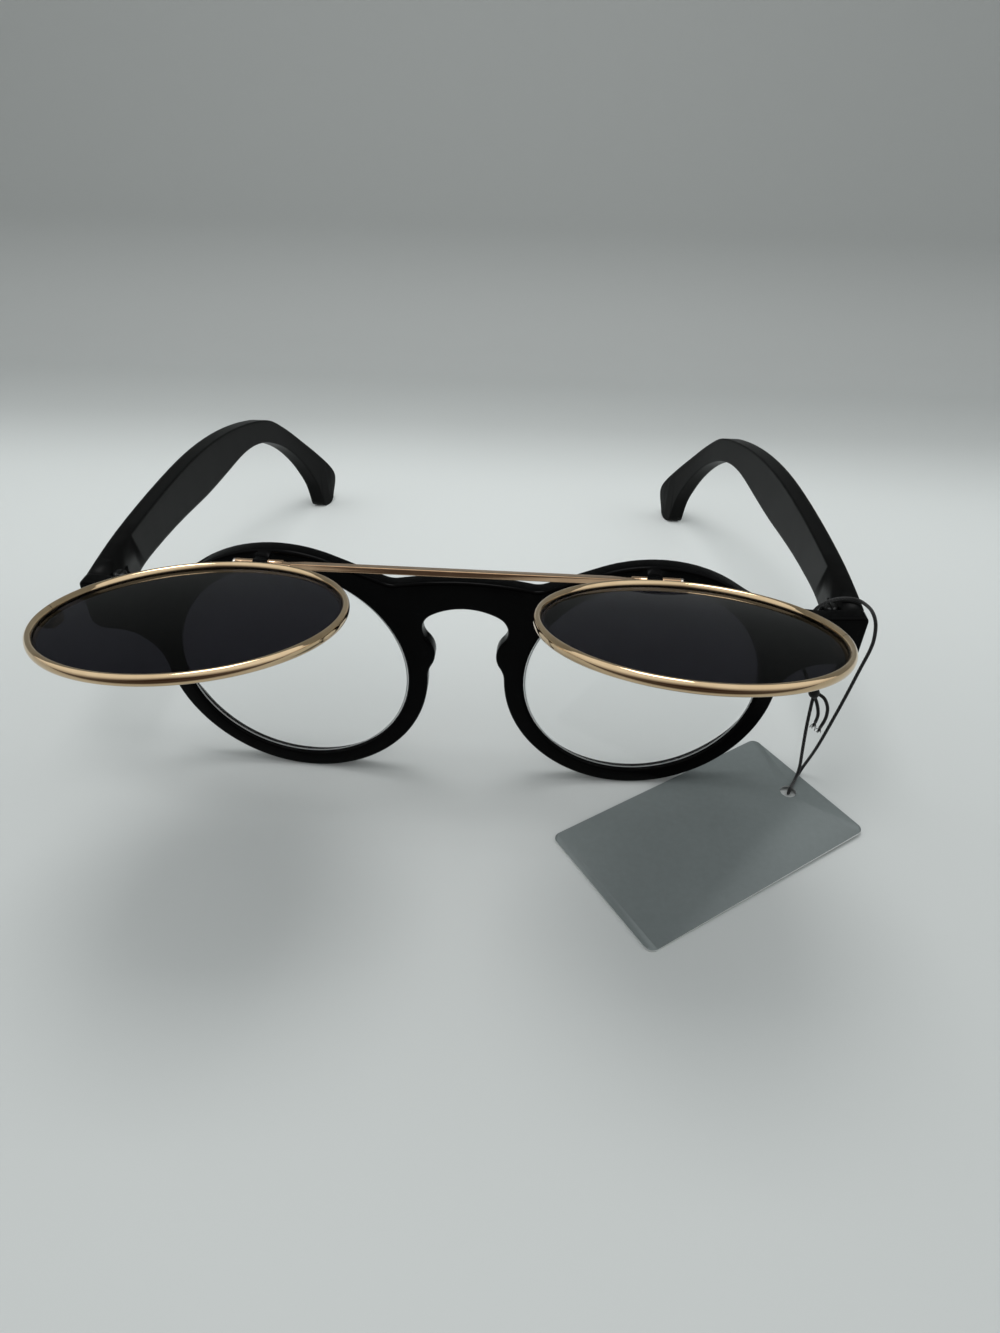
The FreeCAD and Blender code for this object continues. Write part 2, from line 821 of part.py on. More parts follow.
def splayed(obj, side, alias):
    """Turns a temple a little about its own screw, outwards where the angle is more than zero."""
    turn = FreeCAD.Rotation(V(0, 0, 1), -side * size(alias))
    obj.Placement = FreeCAD.Placement(V(0, 0, 0), turn, V(side * pin_x, pin_y, 0) + ahead)
    return obj


moulding = cut("TempleMoulding", fuse("TempleSolid", [temple, temple_barrel, gusset]), temple_bore)
right_temple = doc.addObject("Part::Compound", "TempleRight")
right_temple.Links = [moulding]
finish("temple_right", splayed(right_temple, 1, "right_splay_angle"))
left_temple = doc.addObject("Part::Mirroring", "TempleLeft")
left_temple.Source = moulding
left_temple.Normal = V(1, 0, 0)
finish("temple_left", splayed(left_temple, -1, "left_splay_angle"))


# ---------------------------------------------------------------- screws
def screw(name, shank_alias, head_alias, shank_length, head_height, slot_width):
    """A slotted screw on its own Z axis: the head's underside is at zero, the shank below."""
    body = new_body(name)
    section = new_sketch(body, name + "Section", "XZ_Plane")
    shank = size(shank_alias)
    head = size(head_alias)
    crown = head_height * 0.35
    tip = shank * 0.4
    outline(
        section,
        [
            straight((0, -shank_length), (shank - tip, -shank_length)),
            straight((shank - tip, -shank_length), (shank, -shank_length + tip)),
            straight((shank, -shank_length + tip), (shank, 0)),
            straight((shank, 0), (head, 0)),
            straight((head, 0), (head, head_height - crown)),
            straight((head, head_height - crown), (head - crown, head_height)),
            straight((head - crown, head_height), (0, head_height)),
            straight((0, head_height), (0, -shank_length)),
        ],
    )
    revolve(body, section)
    slot = new_sketch(body, name + "Slot", "XZ_Plane")
    half = slot_width / 2
    low = head_height * 0.45
    high = head_height * 1.5
    outline(
        slot,
        [
            straight((-half, low), (half, low)),
            straight((half, low), (half, high)),
            straight((half, high), (-half, high)),
            straight((-half, high), (-half, low)),
        ],
    )
    pocket(body, slot, "3 * Sizes." + head_alias)
    return body


for name, side in SIDES:
    hinge_screw = screw(
        "TempleScrew_" + name,
        "temple_screw_radius",
        "temple_screw_head",
        size("barrel_height") - 0.4,
        0.7,
        0.35,
    )
    place(hinge_screw, V(side * pin_x, pin_y, barrel_top))
    finish("temple_screw_" + name, hinge_screw)


# ---------------------------------------------------------------- flip unit
# Its parts are drawn hanging closed below the flip axis, then turned up about that axis.
def raised(side=0):
    """The turn that raises the unit; each rim stands a little off the other."""
    return FreeCAD.Rotation(V(1, 0, 0), -(size("flip_raise_angle") + side * size("flip_twist_angle")))


def on_unit(obj, base, rotation=FreeCAD.Rotation(), side=0):
    """Places a piece that is drawn in the closed unit's frame."""
    turn = raised(side)
    point = turn.multVec(base) + V(shift, flip_y, flip_z)
    return place(obj, point, turn.multiply(rotation))


rim_out = flip_r
rim_in = flip_r - size("rim_wall")
half_depth = size("rim_depth") / 2
bite = size("tint_bite")
tint_t = size("tint_thickness")
tint_mid = -size("tint_edge_drop") - tint_t / 2
lock_d = size("lock_depth")
lock_w = size("lock_width")
slit = size("rim_slit")
rim_bodies = []
for name, side in SIDES:
    rim_centre_x = side * flip_x
    toe = FreeCAD.Rotation(V(0, 0, 1), side * size("flip_toe_angle")).multiply(facing)
    seat = V(rim_centre_x, 0, -rim_reach)

    rim = new_body("FlipRim_" + name)
    section = new_sketch(rim, "RimSection_" + name, "XZ_Plane")
    crown = size("rim_crown")
    edge = size("rim_edge")
    wall_top = (rim_out - crown, half_depth - edge)
    wall_low = (rim_out - crown, edge - half_depth)
    bulge = (wall_top[1] ** 2 + crown**2) / (2 * crown)
    root = rim_in + bite + size("lens_clearance")
    groove = tint_t / 2 + size("lens_clearance")
    outline(
        section,
        [
            straight((rim_in, -half_depth), (rim_out - crown - edge, -half_depth)),
            curve((rim_out - crown - edge, edge - half_depth), edge, (rim_out - crown - edge, -half_depth), wall_low, 1),
            curve((rim_out - bulge, 0.0), bulge, wall_low, wall_top, 1),
            curve((rim_out - crown - edge, half_depth - edge), edge, wall_top, (rim_out - crown - edge, half_depth), 1),
            straight((rim_out - crown - edge, half_depth), (rim_in + edge, half_depth)),
            curve((rim_in + edge, half_depth - edge), edge, (rim_in + edge, half_depth), (rim_in, half_depth - edge), 1),
            straight((rim_in, half_depth - edge), (rim_in, tint_mid + groove)),
            straight((rim_in, tint_mid + groove), (root, tint_mid)),
            straight((root, tint_mid), (rim_in, tint_mid - groove)),
            straight((rim_in, tint_mid - groove), (rim_in, -half_depth)),
        ],
    )
    revolve(rim, section)
    split = new_sketch(rim, "RimSplit_" + name, "XY_Plane")
    low_x = side * (rim_out + 1) if side < 0 else rim_in - 1
    high_x = -(rim_in - 1) if side < 0 else rim_out + 1
    outline(
        split,
        [
            straight((low_x, -slit / 2), (high_x, -slit / 2)),
            straight((high_x, -slit / 2), (high_x, slit / 2)),
            straight((high_x, slit / 2), (low_x, slit / 2)),
            straight((low_x, slit / 2), (low_x, -slit / 2)),
        ],
    )
    pocket(rim, split, "3 * Sizes.rim_depth")
    on_unit(rim, seat, toe, side)
    finish("flip_rim_" + name, rim)
    rim_bodies.append(rim)

    tint = new_body("TintedLens_" + name)
    tint_profile = lens_sketch(
        tint,
        "TintSection_" + name,
        rim_in + bite,
        rim_in - size("lens_clearance"),
        tint_t,
        size("tint_base_radius"),
    )
    revolve(tint, tint_profile)
    lens_seat = seat + toe.multVec(V(0, 0, tint_mid))
    on_unit(tint, lens_seat, toe, side)
    finish("tinted_lens_" + name, tint)

    # rim lock: two blocks behind the slit, drawn together by a screw
    lock = new_body("RimLock_" + name)
    lock_plan = new_sketch(lock, "LockPlan_" + name, "XY_Plane")
    wall = size("lock_wall")
    near = side * (rim_out - 0.12 - wall / 2) - wall / 2
    for low, high in ((-slit / 2 - lock_w, -slit / 2), (slit / 2, slit / 2 + lock_w)):
        outline(
            lock_plan,
            [
                straight((near, low), (near + wall, low)),
                straight((near + wall, low), (near + wall, high)),
                straight((near + wall, high), (near, high)),
                straight((near, high), (near, low)),
            ],
        )
    pad(lock, lock_plan, "Sizes.lock_depth", back=True)
    lock_bore = new_sketch(lock, "LockBore_" + name, "XZ_Plane")
    bore_x = near + wall / 2
    bore_z = -lock_d / 2
    index = lock_bore.addGeometry(
        Part.Circle(V(bore_x, bore_z, 0), V(0, 0, 1), size("lock_screw_radius") + 0.02), False
    )
    pocket(lock, lock_bore, "6 * Sizes.lock_width")
    lock_seat = seat + toe.multVec(V(0, 0, -half_depth))
    on_unit(lock, lock_seat, toe, side)
    finish("rim_lock_" + name, lock)

    lock_screw = screw(
        "RimScrew_" + name, "lock_screw_radius", "lock_screw_head", 2 * lock_w + slit - 0.1, 0.45, 0.22
    )
    head_seat = seat + toe.multVec(V(bore_x, slit / 2 + lock_w, bore_z - half_depth))
    across = toe.multiply(FreeCAD.Rotation(V(1, 0, 0), -90))
    on_unit(lock_screw, head_seat, across, side)
    finish("rim_screw_" + name, lock_screw)

# top bar: a flat bar with a barrel at each end, saddled on the rims
bar_h = size("bar_height")
bar_t = size("bar_thickness")
bar = new_body("BarBody")
bar_section = new_sketch(bar, "BarSection", "YZ_Plane")
outline(
    bar_section,
    [
        straight((-bar_t / 2, -bar_h / 2), (bar_t / 2, -bar_h / 2)),
        straight((bar_t / 2, -bar_h / 2), (bar_t / 2, bar_h / 2)),
        straight((bar_t / 2, bar_h / 2), (-bar_t / 2, bar_h / 2)),
        straight((-bar_t / 2, bar_h / 2), (-bar_t / 2, -bar_h / 2)),
    ],
)
BAR_HALF = "(Sizes.lens_spacing / 2 + Sizes.flip_rim_splay - Sizes.bar_end_inset)"
bar_pad = pad(bar, bar_section, "2 * " + BAR_HALF, midplane=True)
bar_edges = [
    "Edge%d" % number
    for number, edge in enumerate(bar_pad.Shape.Edges, start=1)
    if edge.Length > bar_x
]
soften(bar, bar_pad, bar_edges, "Sizes.bar_round")
on_unit(bar, V(0, 0, 0))


def unit_cylinder(name, radius, length, base):
    """A cylinder along the flip axis, in the unit's frame."""
    tool = doc.addObject("Part::Cylinder", name)
    bind(tool, Radius=radius, Height=length)
    return on_unit(tool, base, FreeCAD.Rotation(V(0, 0, 1), V(1, 0, 0)))


def unit_box(name, low, high):
    """A block in the unit's frame."""
    tool = doc.addObject("Part::Box", name)
    tool.Length = high[0] - low[0]
    tool.Width = high[1] - low[1]
    tool.Height = high[2] - low[2]
    return on_unit(tool, V(*low))


rims = fuse("RimPair", rim_bodies)
foot = size("bar_foot_length")
knuckle_in = bar_x + size("lug_gap")
knuckle_w = size("knuckle_width")
foot_drop = size("rim_drop") + (flip_x - bar_x + foot) ** 2 / (2 * flip_r) + 0.1
bar_parts = [bar]
bar_bores = [rims]
for name, side in SIDES:
    hollow = doc.addObject("Part::Cylinder", "RimHollow_" + name)
    bind(hollow, Radius="Sizes.flip_rim_radius - Sizes.rim_wall / 2", Height="6 * Sizes.rim_depth")
    seat = V(side * flip_x, 0, -rim_reach)
    toe = FreeCAD.Rotation(V(0, 0, 1), side * size("flip_toe_angle")).multiply(facing)
    on_unit(hollow, seat + toe.multVec(V(0, 0, -3 * size("rim_depth"))), toe, side)
    bar_bores.append(hollow)
    end_barrel = side * bar_x if side < 0 else bar_x - size("lug_gap")
    bar_parts.append(
        unit_cylinder("BarBarrel_" + name, "Sizes.knuckle_radius", "Sizes.lug_gap", V(end_barrel, 0, 0))
    )
    low_x = -bar_x if side < 0 else bar_x - foot
    bar_parts.append(
        unit_box("BarFoot_" + name, (low_x, -bar_t / 2, -foot_drop), (low_x + foot, bar_t / 2, 0))
    )
    bore_x = -bar_x - 1 if side < 0 else bar_x - size("lug_gap") + 0.3
    bar_bores.append(
        unit_cylinder(
            "BarBore_" + name, "Sizes.flip_screw_radius + 0.02", "Sizes.lug_gap + 0.7", V(bore_x, 0, 0)
        )
    )
finish("top_bar", cut("TopBar", fuse("BarSolid", bar_parts), fuse("BarCuts", bar_bores)))

for name, side in SIDES:
    low_x = side * knuckle_in if side > 0 else -knuckle_in - knuckle_w
    barrel = unit_cylinder(
        "RimBarrel_" + name, "Sizes.knuckle_radius", "Sizes.knuckle_width", V(low_x, 0, 0)
    )
    saddle = unit_box(
        "RimSaddle_" + name,
        (low_x, -bar_t / 2, -size("rim_drop") - 0.3),
        (low_x + knuckle_w, bar_t / 2, 0),
    )
    bore = unit_cylinder(
        "RimBarrelBore_" + name,
        "Sizes.flip_screw_radius + 0.02",
        "Sizes.knuckle_width + 2",
        V(low_x - 1, 0, 0),
    )
    finish(
        "rim_knuckle_" + name,
        cut("RimKnuckle_" + name, fuse("KnuckleSolid_" + name, [barrel, saddle]), fuse("KnuckleCuts_" + name, [rims, bore])),
    )
    flip_screw = screw(
        "FlipScrew_" + name,
        "flip_screw_radius",
        "flip_screw_head",
        knuckle_w + size("lug_gap") + size("lug_gap") * 0.8,
        0.6,
        0.25,
    )
    on_unit(
        flip_screw,
        V(side * (knuckle_in + knuckle_w), 0, 0),
        FreeCAD.Rotation(V(0, 0, 1), V(side, 0, 0)),
    )
    finish("flip_screw_" + name, flip_screw)


# ---------------------------------------------------------------- swing tag, string and knot
tag = new_body("Tag")
tag_plan = new_sketch(tag, "TagPlan", "XY_Plane")
tag_l = size("tag_length")
tag_half = size("tag_width") / 2
tag_r = size("tag_corner")
corners = [(0.0, -tag_half), (tag_l, -tag_half), (tag_l, tag_half), (0.0, tag_half)]
headings = [(1, 0), (0, 1), (-1, 0), (0, -1)]
tag_edges = []
for index, (corner, heading) in enumerate(zip(corners, headings)):
    following = corners[(index + 1) % 4]
    turning = headings[(index + 1) % 4]
    start = (corner[0] + tag_r * heading[0], corner[1] + tag_r * heading[1])
    end = (following[0] - tag_r * heading[0], following[1] - tag_r * heading[1])
    after = (following[0] + tag_r * turning[0], following[1] + tag_r * turning[1])
    centre = (end[0] + tag_r * turning[0], end[1] + tag_r * turning[1])
    tag_edges += [straight(start, end), curve(centre, tag_r, end, after, 1)]
outline(tag_plan, tag_edges)
ring(tag_plan, tag_l - size("tag_hole_inset"), 0, "tag_hole_radius", "Sizes.tag_length - Sizes.tag_hole_inset")
pad(tag, tag_plan, "Sizes.tag_thickness")
tag_lie = FreeCAD.Rotation(V(0, 0, 1), size("tag_turn_angle"))
tag_lie = tag_lie.multiply(FreeCAD.Rotation(V(0, 1, 0), -size("tag_tilt_angle")))
place(tag, V(size("tag_set_right"), -size("tag_set_ahead"), 0), tag_lie)
finish("swing_tag", tag)

# The string leaves the knot, runs over the tag into its hole and out beneath the edge,
# up outside the end piece, across its top, down behind it and back to the knot.
STRING_ROUTE = [
    (66.15, 2.5, 24.1),
    (66.6, 2.9, 18.0),
    (67.6, 3.4, 9.6),
    (68.4, 4.1, 4.9),
    (68.35, 3.65, 2.7),
    (67.5, 2.2, 1.82),
    (66.6, 0.6, 1.78),
    (65.9, -0.55, 1.79),
    (65.85, -0.65, 0.345),
    (66.6, 0.8, 0.34),
    (68.1, 3.4, 0.335),
    (69.2, 5.35, 0.6),
    (70.1, 6.2, 2.2),
    (70.5, 5.5, 5.2),
    (70.7, 3.9, 10.3),
    (71.4, 3.2, 17.0),
    (72.3, 2.8, 24.2),
    (73.1, 2.6, 31.2),
    (73.85, 2.6, 36.0),
    (73.65, 2.75, 39.0),
    (73.3, 3.3, 41.1),
    (72.9, 4.9, 42.1),
    (72.6, 7.0, 41.95),
    (71.6, 8.9, 41.9),
    (69.6, 9.3, 41.92),
    (67.4, 8.9, 41.9),
    (65.2, 8.0, 41.6),
    (63.4, 7.1, 40.4),
    (62.7, 6.55, 38.2),
    (62.6, 6.45, 34.6),
    (63.0, 6.8, 31.0),
    (63.6, 6.1, 28.9),
    (64.3, 4.4, 27.4),
    (65.2, 3.1, 25.9),
    (65.75, 2.7, 25.1),
]
KNOT = (66.1, 2.5, 24.75)
TAILS = [
    [(66.3, 2.3, 24.2), (67.3, 1.9, 22.0), (67.9, 1.8, 19.9), (67.8, 1.9, 17.9)],
    [(66.5, 2.4, 24.9), (68.0, 1.7, 24.3), (69.1, 1.4, 22.2), (69.4, 1.5, 19.4), (68.9, 1.6, 16.9)],
]


def tube(points, radius, label):
    """A tube of straight runs joined by tangent arcs, each as large as its two runs allow."""
    points = [V(*point) for point in points]
    edges = []
    radii = []
    here = points[0]
    for before, corner, after in zip(points, points[1:], points[2:]):
        arriving = corner - before
        leaving = after - corner
        reach = 0.45 * min(arriving.Length, leaving.Length)
        half = arriving.getAngle(leaving) / 2
        bend = reach / math.tan(half)
        arriving.normalize()
        leaving.normalize()
        inward = leaving - arriving
        inward.normalize()
        start = corner - arriving * reach
        end = corner + leaving * reach
        middle = corner + inward * (bend / math.cos(half) - bend)
        edges += [Part.LineSegment(here, start).toShape(), Part.Arc(start, middle, end).toShape()]
        radii.append(bend)
        here = end
    edges.append(Part.LineSegment(here, points[-1]).toShape())
    path = Part.Wire(edges)
    section = Part.Wire(Part.Circle(points[0], points[1] - points[0], radius).toShape())
    solid = path.makePipeShell([section], True, False)
    share = solid.Volume / (math.pi * radius**2 * path.Length)
    print("%s: %.1f mm long, volume %.4f of section x length" % (label, path.Length, share))
    print("  radii " + " ".join("%.2f" % bend for bend in radii))
    return solid


string_r = size("string_diameter") / 2
string = doc.addObject("Part::Feature", "TagString")
string.Shape = tube(STRING_ROUTE, string_r, "string")
finish("tag_string", place(string))

knot_core = doc.addObject("Part::Sphere", "KnotCore")
bind(knot_core, Radius="Sizes.knot_radius")
place(knot_core, V(*KNOT), FreeCAD.Rotation(V(1, 1, 0), 67))
knot_parts = [knot_core]
for number, tail in enumerate(TAILS, start=1):
    stub = doc.addObject("Part::Feature", "KnotTail%d" % number)
    stub.Shape = tube(tail, string_r, "tail %d" % number)
    knot_parts.append(place(stub))
finish("string_knot", fuse("Knot", knot_parts))

doc.recompute()

# ---------------------------------------------------------------- check and export
failed = [o.Name for o in doc.Objects if {"Invalid", "Error"} & set(o.State)]
if failed:
    raise RuntimeError("failed objects: " + ", ".join(failed))
os.makedirs("parts", exist_ok=True)
print("front plane at y %.4f, temple pivot at %.4f, %.4f" % (ahead.y, pin_x, pin_y + ahead.y))
print("flip axis at y %.4f z %.4f" % (flip_y + ahead.y, flip_z))
for node, obj in nodes.items():
    shape = obj.Shape
    if shape.isNull() or not shape.isValid() or not shape.Solids:
        raise RuntimeError(node + " has no valid solid")
    shape.exportStep("parts/%s.step" % node)
    bounds = shape.BoundBox
    print(
        "%-18s %d solid %9.2f mm3  x %7.2f %7.2f  y %7.2f %7.2f  z %6.2f %6.2f"
        % (node, len(shape.Solids), shape.Volume, bounds.XMin, bounds.XMax, bounds.YMin, bounds.YMax, bounds.ZMin, bounds.ZMax)
    )
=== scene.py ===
"""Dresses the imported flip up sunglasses: finishes, smooth shells, the tag's string and the studio.

Every length is in metres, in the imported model's own frame: the glasses look towards -Y and
stand on the floor at z = 0.
"""

import logging
import math
from dataclasses import dataclass
from enum import Enum

import bmesh
import bpy
from mathutils import Matrix, Vector


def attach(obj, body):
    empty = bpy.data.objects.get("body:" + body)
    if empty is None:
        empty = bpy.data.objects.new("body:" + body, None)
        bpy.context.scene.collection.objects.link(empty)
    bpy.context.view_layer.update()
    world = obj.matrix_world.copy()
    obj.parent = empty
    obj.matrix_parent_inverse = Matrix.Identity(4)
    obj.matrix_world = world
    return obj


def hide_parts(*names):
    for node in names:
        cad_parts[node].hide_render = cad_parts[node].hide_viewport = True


Triple = tuple[float, float, float]
"""A point, a size along three axes or a colour."""
LOG = logging.getLogger("sunglasses")
MM = 0.001
AHEAD = -36.6913 * MM
"""Where the middle of the front's face lies along Y, as in the part's source."""
WELD = 0.0005 * MM
"""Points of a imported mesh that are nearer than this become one."""
SLIVER = 0.002 * MM
"""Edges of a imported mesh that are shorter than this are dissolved."""


class Side(Enum):
    """The two sides as seen from the camera, each with its sign along X."""

    LEFT = -1
    RIGHT = 1

    @property
    def word(self) -> str:
        """The side as it stands in a piece's name."""
        return self.name.lower()


def front_point(x: float, y: float, z: float) -> Vector:
    """A point given in millimetres from the middle of the front's face, on the floor.

    Args:
        x: millimetres to the right.
        y: millimetres back from the front's face.
        z: millimetres above the floor.

    Returns:
        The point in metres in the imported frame.
    """
    return Vector((x * MM, y * MM + AHEAD, z * MM))


def aimed(point: Vector, direction: Vector) -> Matrix:
    """The place of a piece whose own Z looks along a direction.

    Args:
        point: where the piece's own origin goes.
        direction: where its Z looks.

    Returns:
        The place.
    """
    return Matrix.Translation(point) @ direction.to_track_quat("Z", "Y").to_matrix().to_4x4()


def add(name: str, data: bpy.types.ID) -> bpy.types.Object:
    """Puts new data into the scene.

    Args:
        name: the object's name.
        data: its mesh, curve, lamp or camera.

    Returns:
        The object, at the origin.
    """
    piece = bpy.data.objects.new(name, data)
    bpy.context.collection.objects.link(piece)
    return piece


class Wiring:
    """Adds nodes to one node tree and joins them."""

    def __init__(self, tree: bpy.types.NodeTree) -> None:
        """Takes the tree; only a recipe has named inputs of its own."""
        self.tree = tree
        self.entry: bpy.types.Node | None = None

    def node(
        self, kind: str, values: dict[str | int, object] | None = None, **settings: object
    ) -> bpy.types.Node:
        """Adds a node.

        Args:
            kind: the node's type.
            values: its input sockets and what they are set to.
            settings: attributes of the node to set before its sockets.

        Returns:
            The new node.
        """
        made = self.tree.nodes.new(kind)
        for key, value in settings.items():
            setattr(made, key, value)
        for key, value in (values or {}).items():
            made.inputs[key].default_value = value
        return made

    def link(self, a: bpy.types.Node, out: str | int, b: bpy.types.Node, into: str | int) -> None:
        """Joins an output socket of one node to an input socket of another."""
        self.tree.links.new(a.outputs[out], b.inputs[into])

    def calc(self, operation: str, *terms: object, clamp: bool = False) -> bpy.types.Node:
        """Adds a Math node.

        Args:
            operation: the node's operation.
            terms: numbers, nodes whose first output is taken, nodes paired with the name of an
                output, or names of a recipe's inputs.
            clamp: keeps the result between 0 and 1.

        Returns:
            The new node.
        """
        made = self.node("ShaderNodeMath", operation=operation, use_clamp=clamp)
        for place, term in enumerate(terms):
            if isinstance(term, str):
                self.link(self.entry, term, made, place)
            elif isinstance(term, bpy.types.Node):
                self.link(term, 0, made, place)
            elif isinstance(term, tuple):
                self.link(*term, made, place)
            else:
                made.inputs[place].default_value = term
        return made


# ------------------------------------------------------------------------------- finishes
class Shader(Wiring):
    """A node material with one Principled shader."""

    def __init__(self, name: str) -> None:
        """Starts the material.

        Args:
            name: the material's name.
        """
        self.material = bpy.data.materials.new(name)
        self.material.use_nodes = True
        super().__init__(self.material.node_tree)
        self.tree.nodes.clear()
        self.output = self.node("ShaderNodeOutputMaterial")
        self.surface = self.node("ShaderNodeBsdfPrincipled")
        self.link(self.surface, "BSDF", self.output, "Surface")

    def set(self, **values: object) -> None:
        """Sets sockets of the Principled shader; underscores stand for spaces."""
        for key, value in values.items():
            self.surface.inputs[key.replace("_", " ")].default_value = value

    def noise(
        self, scale: float, detail: float, stretch: Triple = (1.0, 1.0, 1.0)
    ) -> bpy.types.Node:
        """A noise texture on object coordinates.

        Args:
            scale: waves per metre.
            detail: octaves of detail.
            stretch: how much each axis is stretched before the noise.

        Returns:
            The noise node.
        """
        coordinates = self.node("ShaderNodeTexCoord")
        mapping = self.node("ShaderNodeMapping", {"Scale": stretch})
        noise = self.node("ShaderNodeTexNoise", {"Scale": scale, "Detail": detail})
        self.link(coordinates, "Object", mapping, "Vector")
        self.link(mapping, "Vector", noise, "Vector")
        return noise

    def bump(
        self, texture: bpy.types.Node, height: float, strength: float, edge: float = 0.0
    ) -> None:
        """Bumps the surface by a texture, and softens its edges where asked.

        Args:
            texture: the node that gives the height.
            height: the height of a full wave, in metres.
            strength: from 0, flat, to 1.
            edge: the radius that sharp edges are shaded with, in metres.
        """
        bump = self.node("ShaderNodeBump", {"Distance": height, "Strength": strength})
        self.link(texture, "Fac", bump, "Height")
        if edge > 0:
            bevel = self.node("ShaderNodeBevel", {"Radius": edge}, samples=6)
            self.link(bevel, "Normal", bump, "Normal")
        self.link(bump, "Normal", self.surface, "Normal")

    def vary(self, texture: bpy.types.Node, socket: str, low: float, high: float) -> None:
        """Lets a texture move a value between two limits.

        Args:
            texture: the node that gives a factor.
            socket: the Principled socket that varies.
            low: the value at factor 0.
            high: the value at factor 1.
        """
        spread = self.node("ShaderNodeMapRange", {"To Min": low, "To Max": high})
        self.link(texture, "Fac", spread, "Value")
        self.link(spread, "Result", self.surface, socket)

    def tint(self, texture: bpy.types.Node, low: Triple, high: Triple) -> None:
        """Lets a texture move the base colour between two colours.

        Args:
            texture: the node that gives a factor.
            low: the colour at factor 0.
            high: the colour at factor 1.
        """
        mix = self.node("ShaderNodeMix", {"A": (*low, 1), "B": (*high, 1)}, data_type="RGBA")
        self.link(texture, "Fac", mix, "Factor")
        self.link(mix, "Result", self.surface, "Base Color")

    def clear_where(
        self, ask: bpy.types.Node, out: str, colour: Triple = (1.0, 1.0, 1.0)
    ) -> None:
        """Lets light go straight through the surface where a node says so.

        Args:
            ask: the node that gives 1 there and 0 elsewhere.
            out: its output socket.
            colour: what the light is tinted with.
        """
        passing = self.node("ShaderNodeBsdfTransparent", {"Color": (*colour, 1)})
        mix = self.node("ShaderNodeMixShader")
        self.link(ask, out, mix, "Fac")
        self.link(self.surface, "BSDF", mix, 1)
        self.link(passing, "BSDF", mix, 2)
        self.link(mix, "Shader", self.output, "Surface")


@dataclass(frozen=True)
class BlackPlastic:
    """Moulded black plastic, polished or satin, with the faint waviness of a moulding."""

    name: str
    low: Triple = (0.0006, 0.0006, 0.0007)
    high: Triple = (0.0013, 0.0013, 0.0014)
    gloss: tuple[float, float] = (0.13, 0.22)
    specular: float = 0.04
    cloud_scale: float = 140.0
    grain_scale: float = 5200.0
    grain_height: float = 0.02 * MM
    grain: float = 0.5
    edge: float = 0.25 * MM

    def build(self) -> bpy.types.Material:
        """Builds the material.

        Returns:
            The material.
        """
        shader = Shader(self.name)
        shader.set(Specular_IOR_Level=self.specular, Coat_Weight=0.0)
        cloud = shader.noise(self.cloud_scale, 4.0)
        shader.tint(cloud, self.low, self.high)
        shader.vary(cloud, "Roughness", *self.gloss)
        grain = shader.noise(self.grain_scale, 2.0)
        shader.bump(grain, self.grain_height, self.grain, self.edge)
        return shader.material


@dataclass(frozen=True)
class LensGlass:
    """A moulded lens: clear, or tinted through its thickness, with a hard polished face."""

    name: str
    through: Triple = (0.985, 0.99, 0.99)
    ior: float = 1.4
    roughness: float = 0.0
    specular: float = 0.4

    def build(self) -> bpy.types.Material:
        """Builds the material; light that only casts a shadow passes straight through its tint.

        Returns:
            The material.
        """
        shader = Shader(self.name)
        shader.set(
            Base_Color=(*self.through, 1),
            Transmission_Weight=1.0,
            IOR=self.ior,
            Roughness=self.roughness,
            Specular_IOR_Level=self.specular,
        )
        once = tuple(math.sqrt(value) for value in self.through)
        shader.clear_where(shader.node("ShaderNodeLightPath"), "Is Shadow Ray", once)
        return shader.material


@dataclass(frozen=True)
class BrightMetal:
    """Polished or plated metal with fine drawing marks."""

    name: str
    low: Triple
    high: Triple
    gloss: tuple[float, float] = (0.05, 0.11)
    wear_and_reflection_scale: float = 300.0
    mark_scale: float = 2600.0
    mark_stretch: Triple = (1.0, 1.0, 4.0)
    mark_height: float = 0.01 * MM
    marks: float = 0.25

    def build(self) -> bpy.types.Material:
        """Builds the material.

        Returns:
            The material.
        """
        shader = Shader(self.name)
        shader.set(Metallic=1.0)
        # wear mottle in colour and roughness; on the gold bar its dark brown-red end is also a
        # painted reflection
        wear_and_reflection = shader.noise(self.wear_and_reflection_scale, 5.0)
        shader.tint(wear_and_reflection, self.low, self.high)
        shader.vary(wear_and_reflection, "Roughness", *self.gloss)
        drawn = shader.noise(self.mark_scale, 3.0, self.mark_stretch)
        shader.bump(drawn, self.mark_height, self.marks)
        return shader.material


@dataclass(frozen=True)
class SilverCard:
    """Satin silver-grey card with a very fine tooth."""

    name: str
    low: Triple = (0.155, 0.178, 0.178)
    high: Triple = (0.185, 0.212, 0.212)
    gloss: tuple[float, float] = (0.34, 0.46)
    fleck_scale: float = 900.0
    tooth_scale: float = 420.0
    tooth_height: float = 0.05 * MM
    tooth: float = 0.35

    def build(self) -> bpy.types.Material:
        """Builds the material.

        Returns:
            The material.
        """
        shader = Shader(self.name)
        shader.set(Metallic=0.15, Specular_IOR_Level=0.5)
        fleck = shader.noise(self.fleck_scale, 6.0)
        shader.tint(fleck, self.low, self.high)
        shader.vary(fleck, "Roughness", *self.gloss)
        shader.bump(shader.noise(self.tooth_scale, 6.0), self.tooth_height, self.tooth)
        return shader.material


